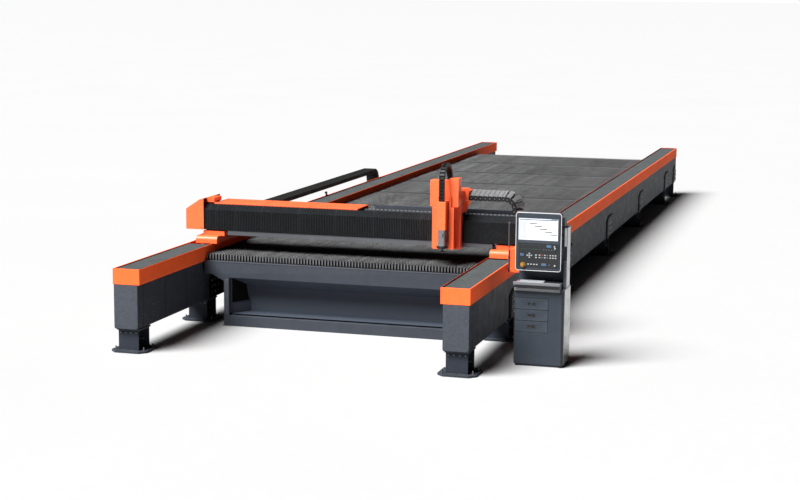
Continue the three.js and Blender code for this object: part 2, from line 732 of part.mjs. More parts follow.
function carriageSaddleGeometry() {
  const top = 1800;
  const low = TROUGH.lip + 13;
  const side = [
    [2196, 1624],
    [2244, 1624],
    [2244, low],
    [2330, low],
    [CHAIN.rear + 40, 1640],
    [CHAIN.rear + 40, top],
    [2196, top],
  ];
  const saddle = alongX(side, 3262, 3618);
  const end = CHAIN.moving - GAP;
  const clamp = box(3617, end, CHAIN.front, CHAIN.rear, CHAIN_AXIS + CHAIN_BEND + 3, top - 8);
  const flange = box(3580, end, CHAIN.front, CHAIN.front + 12, 1690, top + 18);
  const gusset = [[3600, 1675], [3700, 1675], [3638, low], [3600, low]];
  return join(saddle, clamp, flange, alongY(gusset, CHAIN.front, CHAIN.front + 12));
}
add("carriage_saddle", "orange", carriageSaddleGeometry());

// ---- vertical axis ---------------------------------------------------------------------------------
const COLUMN = { left: 3386, right: 3493, front: 1910, rear: 2100, top: 1700, low: 1165 };

function zColumnGeometry() {
  const { left, right, front, rear, top, low } = COLUMN;
  const step = 2012;
  const side = [[front, top], [front, 1354], [step, 1354], [step, low], [rear, low], [rear, top]];
  const block = box(CARRIAGE.middle - 40, CARRIAGE.middle + 40, rear - 2, CHANNEL.rear - 1, 1460, 1550);
  return join(alongX(side, left, right), block);
}
add("z_column", "orange", zColumnGeometry());

const HEAD = { x: 3446, y: 1958 };
add("cutting_head", "silver", box(HEAD.x - 48, HEAD.x + 48, HEAD.y - 56, HEAD.y + 53, 1158, 1353));

function nozzleGeometry() {
  const profile = [
    [0, 1066], [5, 1066], [24, 1082], [24, 1090], [13, 1096], [13, 1128], [68, 1130], [72, 1134], [72, 1152],
    [66, 1157.5], [0, 1157.5],
  ];
  const points = profile.map(([radius, z]) => new THREE.Vector2(radius, z));
  return new THREE.LatheGeometry(points, 28).rotateX(Math.PI / 2).translate(HEAD.x, HEAD.y, 0);
}
add("nozzle_and_sensor_ring", "dark", nozzleGeometry());

const Z_CHAIN = { left: 3406, right: 3471, front: 1916, rear: 2350, height: 45, middle: 1935 };
function zChainGeometry() {
  const radius = (Z_CHAIN.rear - Z_CHAIN.front - Z_CHAIN.height) / 2;
  const centre = (Z_CHAIN.rear + Z_CHAIN.front) / 2;
  const half = Z_CHAIN.height / 2;
  const outer = arc(centre, Z_CHAIN.middle, radius + half, 180, 0, 12);
  const inner = arc(centre, Z_CHAIN.middle, radius - half, 0, 180, 12);
  const front = COLUMN.top + 1;
  const rear = 1801;
  const section = [
    [Z_CHAIN.front, front],
    ...outer,
    [Z_CHAIN.rear, rear],
    [Z_CHAIN.rear - Z_CHAIN.height, rear],
    ...inner,
    [Z_CHAIN.front + Z_CHAIN.height, front],
  ];
  return alongX(section, Z_CHAIN.left, Z_CHAIN.right);
}
add("z_chain", "dark", zChainGeometry());

// ---- operator console ------------------------------------------------------------------------------
function cabinetGeometry() {
  const { left, right, front, rear, shelf } = CONSOLE;
  const body = box(left, right, front, rear, 24, shelf);
  const plinth = box(left + 12, right - 12, front + 14, rear - 12, 0, 26);
  const bayTop = DRAWER.lowest + 3 * DRAWER.pitch;
  const bay = box(DRAWER.left - 4, DRAWER.right + 4, front - 10, front + 8 + DRAWER.depth + 20,
    DRAWER.lowest - 4, bayTop);
  return cut(join(body, plinth), bay);
}
add("console_cabinet", "slate", cabinetGeometry());

function drawerGeometry(z) {
  const front = CONSOLE.front;
  const { left, right, depth, height } = DRAWER;
  const face = box(left, right, front, front + 9, z, z + height);
  const tray = box(left + 6, right - 6, front + 8, front + 8 + depth, z + 4, z + 104);
  const hollow = box(left + 12, right - 12, front + 14, front + 2 + depth, z + 10, z + 200);
  const pull = box(left + 152, left + 226, front - 5, front + 4, z + 50, z + 76);
  return cut(join(face, tray), hollow, pull);
}
const drawerNames = ["lower_drawer", "middle_drawer", "upper_drawer"];
drawerNames.forEach((name, i) => {
  add(name, "slate", drawerGeometry(DRAWER.lowest + i * DRAWER.pitch));
});

const CONSOLE_HEAD = { right: 5124, low: 1100, deep: 96, corner: 28, sidePanel: 26, sideTop: 1596 };
function consoleHeadGeometry() {
  const { left, right, front, top, shelf } = CONSOLE;
  const { low, deep, corner, sidePanel, sideTop } = CONSOLE_HEAD;
  const face = [
    [left, low],
    [CONSOLE_HEAD.right, low],
    [CONSOLE_HEAD.right, top - corner],
    [CONSOLE_HEAD.right - corner * 0.3, top - corner * 0.3],
    [CONSOLE_HEAD.right - corner, top],
    [left + corner, top],
    [left + corner * 0.3, top - corner * 0.3],
    [left, top - corner],
  ];
  const neck = [
    [front + deep, 1130],
    [front + deep, top - 60],
    [front + 190, top - 60],
    [front + 330, 1300],
    [front + 330, shelf + GAP],
    [front + 190, shelf + GAP],
    [front + 190, 1130],
  ];
  const sideBox = box(right - sidePanel, right, front + 76, front + 334, shelf + GAP, sideTop);
  const notch = box(right - sidePanel - 20, right + 20, front + 70, front + 120, 1226, 1380);
  return join(
    alongY(face, front + 12, front + 12 + deep),
    alongX(neck, left + 6, right - sidePanel + 1),
    cut(sideBox, notch),
  );
}
add("console_head", "slate", consoleHeadGeometry());

const panelFace = CONSOLE.front + 12 - GAP;
add("console_screen", "screen", box(4634, 5087, panelFace - 6, panelFace, 1450, 1697));

const BUTTONS = [
  { name: "estop_button", finish: "yellow", x: 4690, z: 1166, radius: 21, stem: 14, out: 30 },
  { name: "start_button", finish: "white", x: 5058, z: 1366, radius: 11, stem: 8, out: 12 },
  { name: "stop_button", finish: "red", x: 5058, z: 1170, radius: 11, stem: 8, out: 12 },
];
const PANEL_THICK = 8;
const panel = box(4634, 5100, panelFace - PANEL_THICK, panelFace, 1138, 1418);
const sockets = BUTTONS.map(({ x, z, stem }) => {
  return cylinder(stem + 0.6, [x, panelFace - 20, z], [x, panelFace + 20, z], 20);
});
add("control_panel", "dark", cut(panel, ...sockets));

const BUTTON_CLEARANCE = 7;
for (const { name, finish, x, z, radius, stem, out } of BUTTONS) {
  const face = panelFace - PANEL_THICK;
  const head = cylinder(radius, [x, face - BUTTON_CLEARANCE, z], [x, face - out, z]);
  const shank = cylinder(stem, [x, face + 0.5, z], [x, face - out / 2 - 4, z], 20);
  add(name, finish, join(head, shank));
}

function keyboardShelfGeometry() {
  const { left, front, shelf } = CONSOLE;
  const section = [
    [front - 70, 946],
    [front - 70, 980],
    [front - 62, 980],
    [front - 58, 960],
    [front + 180, 960],
    [front + 180, shelf + 1],
    [front - 24, shelf + 1],
    [front - 24, 946],
  ];
  return alongX(section, left - 5, CONSOLE_HEAD.right + 8);
}
add("keyboard_shelf", "silver", keyboardShelfGeometry());
add("keyboard", "silver", box(4650, 4940, CONSOLE.front - 40, CONSOLE.front + 90, 960.5, 982));

// ---- frame -----------------------------------------------------------------------------------------
// The origin is under the middle of the whole machine, on the floor.
const extent = new THREE.Box3().setFromObject(machine);
const middle = extent.getCenter(new THREE.Vector3());
machine.position.set(-middle.x, -middle.y, -extent.min.z);

export default machine;
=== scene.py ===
# Looks of the gantry cutting machine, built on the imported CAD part. Metres, row frame.
import math
import random

import bmesh
import bpy
from mathutils import Matrix, Vector


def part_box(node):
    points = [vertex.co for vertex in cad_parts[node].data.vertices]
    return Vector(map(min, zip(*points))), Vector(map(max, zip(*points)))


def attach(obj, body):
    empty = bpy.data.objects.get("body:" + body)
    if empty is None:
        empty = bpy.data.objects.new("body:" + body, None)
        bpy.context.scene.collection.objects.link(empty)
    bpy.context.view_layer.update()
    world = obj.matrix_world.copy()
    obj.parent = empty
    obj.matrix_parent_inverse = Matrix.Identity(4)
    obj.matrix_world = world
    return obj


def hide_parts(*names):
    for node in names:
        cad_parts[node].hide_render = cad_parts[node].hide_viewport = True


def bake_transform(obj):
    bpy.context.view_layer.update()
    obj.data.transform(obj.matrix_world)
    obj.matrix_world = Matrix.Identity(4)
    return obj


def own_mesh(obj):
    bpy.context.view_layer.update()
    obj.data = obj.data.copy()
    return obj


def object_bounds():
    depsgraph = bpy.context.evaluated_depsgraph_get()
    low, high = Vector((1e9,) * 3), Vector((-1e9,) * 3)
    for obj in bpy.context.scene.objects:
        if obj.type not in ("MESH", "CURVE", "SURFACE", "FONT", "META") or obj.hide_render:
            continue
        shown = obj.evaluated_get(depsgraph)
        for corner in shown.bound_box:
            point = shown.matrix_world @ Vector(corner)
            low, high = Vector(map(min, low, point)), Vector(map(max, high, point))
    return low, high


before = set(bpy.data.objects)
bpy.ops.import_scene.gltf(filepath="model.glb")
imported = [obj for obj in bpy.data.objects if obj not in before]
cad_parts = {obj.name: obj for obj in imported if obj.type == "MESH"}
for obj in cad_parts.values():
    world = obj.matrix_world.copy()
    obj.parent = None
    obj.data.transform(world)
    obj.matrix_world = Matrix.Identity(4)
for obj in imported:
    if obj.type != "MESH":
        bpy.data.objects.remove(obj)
cad_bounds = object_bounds()


def span(node):
    lo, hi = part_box(node)
    return lo.x, hi.x, lo.y, hi.y, lo.z, hi.z


# ---- mesh building ----
AXES = {"x": (1, 2, 0), "y": (0, 2, 1), "z": (0, 1, 2)}


def place(axis, a, b, along):
    """The point with the section's coordinates a and b, at a distance along the axis."""
    first, second, third = AXES[axis]
    point = [0.0, 0.0, 0.0]
    point[first], point[second], point[third] = a, b, along
    return tuple(point)


class Shape:
    """Collects solids into one mesh. A part number picks the material slot."""

    def __init__(self):
        self.verts = []
        self.faces = []
        self.slots = []

    def add(self, verts, faces, part=0, turn=None):
        base = len(self.verts)
        if turn is not None:
            verts = [tuple(turn @ Vector(v)) for v in verts]
        self.verts += verts
        self.faces += [tuple(base + i for i in f) for f in faces]
        self.slots += [part] * len(faces)

    def prism(self, axis, points, a, b, part=0, turn=None):
        verts = [place(axis, *p, a) for p in points] + [place(axis, *p, b) for p in points]
        self.loft(verts, part, turn)

    def loft(self, verts, part=0, turn=None):
        """A closed solid between two loops of the same length, one after the other in verts."""
        n = len(verts) // 2
        faces = [tuple(range(n))[::-1], tuple(range(n, 2 * n))]
        faces += [(i, (i + 1) % n, n + (i + 1) % n, n + i) for i in range(n)]
        self.add(verts, faces, part, turn)

    def box(self, x0, x1, y0, y1, z0, z1, part=0, turn=None):
        self.prism("z", [(x0, y0), (x1, y0), (x1, y1), (x0, y1)], z0, z1, part, turn)

    def turned(self, centre, axis, profile, sides=20, part=0, turn=None):
        """A body of revolution from (radius, height) pairs, closed by a flat disc at each end."""
        verts, faces = [], []
        cx, cy, cz = centre
        for radius, height in profile:
            for k in range(sides):
                angle = 2 * math.pi * k / sides
                p = place(axis, radius * math.cos(angle), radius * math.sin(angle), height)
                verts.append((cx + p[0], cy + p[1], cz + p[2]))
        for row in range(len(profile) - 1):
            for k in range(sides):
                a, b = row * sides + k, row * sides + (k + 1) % sides
                faces.append((a, b, b + sides, a + sides))
        faces.append(tuple(range(sides))[::-1])
        faces.append(tuple(range(len(verts) - sides, len(verts))))
        self.add(verts, faces, part, turn)

    def bolt(self, centre, axis, out, size=0.012, part=0):
        """A washer and a hexagon head, standing out along the axis: out is 1 or -1."""
        t = size * 0.6 * out
        washer = [(size * 1.15, 0), (size * 1.15, t * 0.25), (size, t * 0.3)]
        self.turned(centre, axis, washer, 12, part)
        head = [(size * 0.85, t * 0.28), (size * 0.85, t * 1.1), (size * 0.62, t * 1.35)]
        self.turned(centre, axis, head, 6, part)

    def make(self, name, mats, body=None, bevel=0.0, replaces=(), angle=35):
        mesh = bpy.data.meshes.new(name)
        mesh.from_pydata(self.verts, [], self.faces)
        for material in mats if isinstance(mats, (list, tuple)) else [mats]:
            mesh.materials.append(material)
        mesh.polygons.foreach_set("material_index", self.slots)
        mesh.validate()
        mesh.update()
        obj = bpy.data.objects.new(name, mesh)
        bpy.context.collection.objects.link(obj)
        fix_normals(mesh)
        mesh.polygons.foreach_set("use_smooth", [True] * len(mesh.polygons))
        mesh.set_sharp_from_angle(angle=math.radians(angle))
        if bevel:
            add_bevel(obj, bevel)
        if body:
            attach(obj, body)
        if replaces:
            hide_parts(*replaces)
        return obj


def fix_normals(mesh):
    work = bmesh.new()
    work.from_mesh(mesh)
    bmesh.ops.recalc_face_normals(work, faces=work.faces)
    work.to_mesh(mesh)
    work.free()


def add_bevel(obj, width):
    bevel = obj.modifiers.new("bevel", "BEVEL")
    bevel.width = width
    bevel.segments = 2
    bevel.limit_method = "ANGLE"
    bevel.angle_limit = math.radians(30)


def dress(node, material, bevel=0.0):
    """Gives a CAD node its finish and softens its edges."""
    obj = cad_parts[node]
    obj.data.materials.clear()
    obj.data.materials.append(material)
    if bevel:
        weld = obj.modifiers.new("weld", "WELD")
        weld.merge_threshold = 0.00005
        add_bevel(obj, bevel)
        obj.data.polygons.foreach_set("use_smooth", [False] * len(obj.data.polygons))
    return obj


# ---- materials ----
ROUGH_SPREAD = 0.08  # how far the roughness wanders either way


class Finish:
    """A procedural material in the making."""

    def __init__(self, name, color, rough, metal=0.0):
        self.mat = bpy.data.materials.new(name)
        self.mat.use_nodes = True
        self.tree = self.mat.node_tree
        self.tree.nodes.clear()
        out = self.node("ShaderNodeOutputMaterial")
        self.bsdf = self.node("ShaderNodeBsdfPrincipled")
        self.wire(self.bsdf.outputs["BSDF"], out.inputs["Surface"])
        self.place = self.node("ShaderNodeTexCoord").outputs["Object"]
        self.bsdf.inputs["Metallic"].default_value = metal
        self.color = self.rgb(color)
        self.rough = rough
        self.height = None

    def node(self, kind, **settings):
        made = self.tree.nodes.new(kind)
        for key, value in settings.items():
            setattr(made, key, value)
        return made

    def wire(self, source, target):
        if hasattr(source, "is_output"):
            self.tree.links.new(source, target)
        else:
            target.default_value = source

    def rgb(self, color):
        made = self.node("ShaderNodeRGB")
        made.outputs[0].default_value = (*color, 1)
        return made.outputs[0]

    def math(self, operation, a, b):
        made = self.node("ShaderNodeMath", operation=operation)
        self.wire(a, made.inputs[0])
        self.wire(b, made.inputs[1])
        return made.outputs[0]

    def scaled(self, stretch):
        made = self.node("ShaderNodeMapping")
        self.wire(self.place, made.inputs["Vector"])
        made.inputs["Scale"].default_value = stretch
        return made.outputs[0]

    def noise(self, scale, detail, stretch=(1, 1, 1)):
        made = self.node("ShaderNodeTexNoise")
        self.wire(self.scaled(stretch), made.inputs["Vector"])
        made.inputs["Scale"].default_value = scale
        made.inputs["Detail"].default_value = detail
        made.inputs["Roughness"].default_value = 0.55
        return made.outputs["Fac"]

    def spread(self, value, low, high, from_low=0.3, from_high=0.7):
        made = self.node("ShaderNodeMapRange")
        self.wire(value, made.inputs["Value"])
        made.inputs["From Min"].default_value = from_low
        made.inputs["From Max"].default_value = from_high
        made.inputs["To Min"].default_value = low
        made.inputs["To Max"].default_value = high
        return made.outputs[0]

    def tint(self, fac, color):
        """Mixes another colour into the base by a factor."""
        made = self.node("ShaderNodeMix", data_type="RGBA")
        self.wire(fac, made.inputs[0])
        self.wire(self.color, made.inputs[6])
        self.wire((*color, 1), made.inputs[7])
        self.color = made.outputs[2]
        return self

    def mottle(self, scale, amount, stretch=(1, 1, 1)):
        """Slow changes of shade over the surface."""
        value = self.spread(self.noise(scale, 4, stretch), 1 - amount, 1 + amount)
        made = self.node("ShaderNodeVectorMath", operation="SCALE")
        self.wire(self.color, made.inputs[0])
        self.wire(value, made.inputs["Scale"])
        self.color = made.outputs[0]
        return self

    def coordinate(self, axis):
        made = self.node("ShaderNodeSeparateXYZ")
        self.wire(self.place, made.inputs[0])
        return made.outputs["XYZ".index(axis.upper())]

    def seams(self, axis, pitch, offset, width=0.006, color=(0.02, 0.01, 0.01), depth=1.0):
        """Dark joint lines across the surface, one every pitch."""
        shifted = self.math("SUBTRACT", self.coordinate(axis), offset)
        near = self.math("PINGPONG", shifted, pitch / 2)
        line = self.math("LESS_THAN", near, width / 2)
        self.tint(self.math("MULTIPLY", line, 0.85), color)
        self.raise_by(self.math("MULTIPLY", line, -depth))
        return self

    def raise_by(self, value):
        self.height = value if self.height is None else self.math("ADD", self.height, value)
        return self

    def grain(self, scale, strength, detail=2.0, stretch=(1, 1, 1)):
        value = self.noise(scale, detail, stretch)
        return self.raise_by(self.math("MULTIPLY", value, strength))

    def worn(self, color, amount):
        """Paint rubbed thin along the edges."""
        point = self.node("ShaderNodeNewGeometry").outputs["Pointiness"]
        edge = self.spread(point, 0, amount, 0.53, 0.62)
        broken = self.math("MULTIPLY", edge, self.spread(self.noise(35, 4), 0.2, 1.0))
        return self.tint(broken, color)

    def shade_below(self, axis, low, high, color):
        """Painted shade, full below low on the axis and fading out up to high."""
        value = self.spread(self.coordinate(axis), 1.0, 0.0, low, high)
        return self.tint(value, color)

    def dusty(self, color, amount):
        """Dust that settles on faces that look up."""
        normal = self.node("ShaderNodeNewGeometry").outputs["Normal"]
        made = self.node("ShaderNodeSeparateXYZ")
        self.wire(normal, made.inputs[0])
        up = self.spread(made.outputs[2], 0, amount, 0.5, 1.0)
        patch = self.math("MULTIPLY", up, self.spread(self.noise(5, 5), 0.25, 1.0))
        return self.tint(patch, color)

    def done(self, bump, distance, coat=0.0, coat_rough=0.15, shine=0.5):
        self.wire(self.color, self.bsdf.inputs["Base Color"])
        low, high = self.rough - ROUGH_SPREAD, min(1.0, self.rough + ROUGH_SPREAD)
        self.wire(self.spread(self.noise(7, 5), low, high), self.bsdf.inputs["Roughness"])
        if self.height is not None:
            made = self.node("ShaderNodeBump")
            made.inputs["Strength"].default_value = bump
            made.inputs["Distance"].default_value = distance
            self.wire(self.height, made.inputs["Height"])
            self.wire(made.outputs[0], self.bsdf.inputs["Normal"])
        self.bsdf.inputs["Coat Weight"].default_value = coat
        self.bsdf.inputs["Coat Roughness"].default_value = coat_rough
        self.bsdf.inputs["Specular IOR Level"].default_value = shine
        return self.mat


ORANGE = (0.94, 0.117, 0.031)
PALE_ORANGE = (0.85, 0.24, 0.08)
SLATE = (0.026, 0.031, 0.042)
DUST = (0.12, 0.12, 0.12)


def orange_finish(name, rough=0.42):
    made = Finish(name, ORANGE, rough).mottle(0.9, 0.07).mottle(14, 0.05)
    made.worn(PALE_ORANGE, 0.5).dusty((0.8, 0.25, 0.12), 0.16)
    return made.grain(260, 0.35).grain(90, 0.25, 1)


def slate_finish(name, color=SLATE):
    made = Finish(name, color, 0.5).mottle(0.7, 0.1).mottle(11, 0.08)
    made.worn((0.14, 0.15, 0.17), 0.45).dusty(DUST, 0.16)
    return made.grain(220, 0.4).grain(70, 0.25, 1)


orange = orange_finish("orange_powder_coat").done(0.15, 0.0006, coat=0.12, coat_rough=0.3, shine=0.35)
orange_top = orange_finish("orange_top_cover", 0.45).tint(0.3, (0.42, 0.07, 0.03))
orange_top = orange_top.done(0.15, 0.0006, coat=0.12, coat_rough=0.3, shine=0.35)
orange_rail = orange_finish("orange_rail_cover", 0.6)
orange_rail.seams("y", 3.6, -9.1475 + 2.1 + 0.17, 0.007, (0.25, 0.03, 0.01))
orange_rail = orange_rail.done(0.15, 0.0006, shine=0.02)
slate = slate_finish("slate_powder_coat").done(0.1, 0.0005, shine=0.4)
slate_deep = Finish("slate_recess", (0.047, 0.056, 0.073), 0.5).mottle(0.4, 0.06).grain(220, 0.3)
slate_deep = slate_deep.done(0.04, 0.0003, shine=0.1)
slate_rail = slate_finish("slate_rail_beam", (0.026, 0.0305, 0.04))
slate_rail.seams("y", 3.6, -9.1475 + 2.1 + 0.17, 0.01, (0.01, 0.01, 0.012))
slate_rail.seams("y", 0.62, -9.0, 0.012, (0.004, 0.004, 0.005), 0.5)
slate_rail = slate_rail.done(0.12, 0.0006, shine=0.05)
console_slate = slate_finish("console_paint", (0.021, 0.028, 0.039)).done(0.12, 0.0006, shine=0.35)
dark_steel = Finish("dark_steel", (0.014, 0.015, 0.017), 0.5, 0.6).mottle(9, 0.2).grain(200, 0.4)
dark_steel = dark_steel.done(0.3, 0.001)
steel = Finish("ground_steel", (0.3, 0.31, 0.33), 0.28, 1.0).mottle(20, 0.12, (1, 0.05, 1))
steel = steel.grain(300, 0.5, 2, (1, 0.02, 1)).done(0.15, 0.0005)
zinc = Finish("zinc_bolt", (0.12, 0.125, 0.13), 0.4, 0.7).mottle(60, 0.15).grain(300, 0.4).done(0.2, 0.0004)
silver = Finish("satin_silver", (0.17, 0.178, 0.187), 0.4, 0.4).mottle(6, 0.06).grain(260, 0.3)
silver = silver.done(0.15, 0.0006, coat=0.1)
rim_silver = Finish("rim_silver", (0.48, 0.49, 0.51), 0.4, 0.15).mottle(6, 0.05).grain(260, 0.3)
rim_silver = rim_silver.done(0.1, 0.0005)
chrome = Finish("brushed_aluminium", (0.36, 0.365, 0.375), 0.28, 0.9).mottle(5, 0.05)
chrome = chrome.grain(240, 0.3, 2, (1, 1, 0.05))
chrome = chrome.done(0.05, 0.0004)
strip_grey = Finish("grey_strip", (0.085, 0.09, 0.1), 0.5, 0.3).mottle(4, 0.12).grain(150, 0.4)
strip_grey = strip_grey.done(0.2, 0.0008)
cloth = Finish("bellows_cloth", (0.006, 0.0075, 0.009), 0.6).mottle(3, 0.25).worn((0.035, 0.04, 0.042), 0.6)
cloth = cloth.grain(900, 0.5).grain(40, 0.3).done(0.35, 0.0008, shine=0.25)
rail_cloth = Finish("rail_bellows_cloth", (0.034, 0.038, 0.039), 0.8).mottle(3, 0.22)
rail_cloth = rail_cloth.worn((0.09, 0.095, 0.095), 0.5).grain(900, 0.5).done(0.35, 0.0008, shine=0.12)
plastic = Finish("chain_plastic", (0.004, 0.004, 0.0045), 0.5).mottle(12, 0.25).worn((0.04, 0.04, 0.04), 0.5)
plastic = plastic.grain(420, 0.4).done(0.3, 0.0006, shine=0.15)
lid_grey = Finish("chain_lid", (0.19, 0.19, 0.195), 0.35).mottle(18, 0.2).grain(160, 0.5).done(0.3, 0.0008)
stripes = Finish("chain_links", (0.007, 0.007, 0.008), 0.5).mottle(12, 0.2)
stripes.seams("y", 0.1, 0.0, 0.012, (0.002, 0.002, 0.002), 2.0)
stripes = stripes.grain(400, 0.4).done(0.8, 0.003)
black = Finish("black_enamel", (0.005, 0.005, 0.006), 0.35).mottle(25, 0.2).grain(200, 0.3).done(0.2, 0.0006)
rubber = Finish("black_rubber", (0.005, 0.005, 0.005), 0.75).mottle(30, 0.2).grain(350, 0.5).done(0.3, 0.0006)
slat_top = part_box("slat_field")[1].z
slat_steel = Finish("cut_plate", (0.125, 0.126, 0.128), 0.5, 0.2).mottle(0.6, 0.16)
slat_steel = slat_steel.mottle(9, 0.2, (1, 0.3, 1))
# Painted shade: the slat sides darken below the tooth tops.
slat_steel.shade_below("z", slat_top - 0.014, slat_top - 0.004, (0.004, 0.004, 0.0045))
slat_steel = slat_steel.grain(180, 0.6).done(0.4, 0.001, shine=0.2)
comb_steel = Finish("comb_plate", (0.12, 0.122, 0.126), 0.6, 0.2).mottle(2.5, 0.3).grain(160, 0.6)
# Painted shade: the combs darken towards their foot.
comb_steel.shade_below("z", slat_top - 0.11, slat_top - 0.05, (0.014, 0.014, 0.015))
comb_steel = comb_steel.done(0.4, 0.001, shine=0.15)
# Near black standing in for shade: painted shade in the recess ends, behind the comb fingers and in the rail
# bracket slots.
shade_black = Finish("painted_shade_near_black", (0.0025, 0.0025, 0.003), 0.8).mottle(8, 0.3).grain(120, 0.5)
shade_black = shade_black.done(0.3, 0.001, shine=0.05)
# Near black standing in for shade: painted shade on the cross bars and the sheet under the slats.
under_bed_shade = Finish("bed_underside_painted_shade", (0.008, 0.008, 0.009), 0.7, 0.3).mottle(4, 0.3).grain(120, 0.5)
under_bed_shade = under_bed_shade.done(0.4, 0.001)
glass = Finish("lit_screen", (0.6, 0.615, 0.64), 0.2).mottle(5, 0.02).grain(500, 0.1)
glass = glass.done(0.05, 0.0002, coat=0.6)
ink = Finish("screen_grey", (0.06, 0.065, 0.075), 0.2).mottle(20, 0.05).grain(500, 0.1).done(0.05, 0.0002)
panel_ink = Finish("panel_film", (0.008, 0.01, 0.012), 0.45).mottle(9, 0.12).grain(380, 0.5)
panel_ink = panel_ink.done(0.25, 0.0005)
pale_ink = Finish("screen_pale", (0.44, 0.46, 0.5), 0.2).mottle(20, 0.05).grain(500, 0.1).done(0.05, 0.0002)
green_mark = Finish("panel_mark", (0.02, 0.08, 0.05), 0.4).mottle(40, 0.1).grain(300, 0.3).done(0.1, 0.0003)
grey_key = Finish("grey_key", (0.09, 0.1, 0.11), 0.4).mottle(40, 0.1).grain(300, 0.3).done(0.1, 0.0003)
white_key = Finish("white_key", (0.3, 0.31, 0.32), 0.4).mottle(40, 0.05).grain(300, 0.3).done(0.15, 0.0004)
blue_key = Finish("blue_key", (0.05, 0.1, 0.17), 0.35).mottle(40, 0.08).grain(300, 0.3).done(0.15, 0.0004)
red_key = Finish("red_key", (0.25, 0.02, 0.02), 0.35).mottle(40, 0.08).grain(300, 0.3).done(0.15, 0.0004)
amber = Finish("amber_button", (0.3, 0.15, 0.02), 0.3).mottle(40, 0.06).grain(300, 0.3).done(0.1, 0.0004)


# ---- rails ----
LEG_FRONTS = [0.06, 2.1, 5.7, 9.3, 12.9, 16.5, 17.93]
LEG_DEPTH = 0.3
FLANGE = 0.255


def bellows(name, section, depth, axis, a0, a1, folds, mat, first=0, last=None):
    """Folded cloth: an open section carried along an axis, pushed in by depth at every other ring."""
    last = folds if last is None else last
    shape = Shape()
    rings = []
    for i in range(2 * first, 2 * last + 1):
        along = a0 + (a1 - a0) * i / (2 * folds)
        rings.append([place(axis, *p, along) for p in (section if i % 2 else depth)])
    n = len(section)
    verts = [p for ring in rings for p in ring]
    faces = [
        (r * n + k, r * n + k + 1, (r + 1) * n + k + 1, (r + 1) * n + k)
        for r in range(len(rings) - 1)
        for k in range(n - 1)
    ]
    shape.add(verts, faces)
    return shape.make(name, mat, angle=25)


def flat_fold(x0, x1, z0, z1, dip):
    outer = [(x0, z0), (x0, z1), (x1, z1), (x1, z0)]
    inner = [(x0 + dip, z0), (x0 + dip, z1 - dip), (x1 - dip, z1 - dip), (x1 - dip, z0)]
    return outer, inner


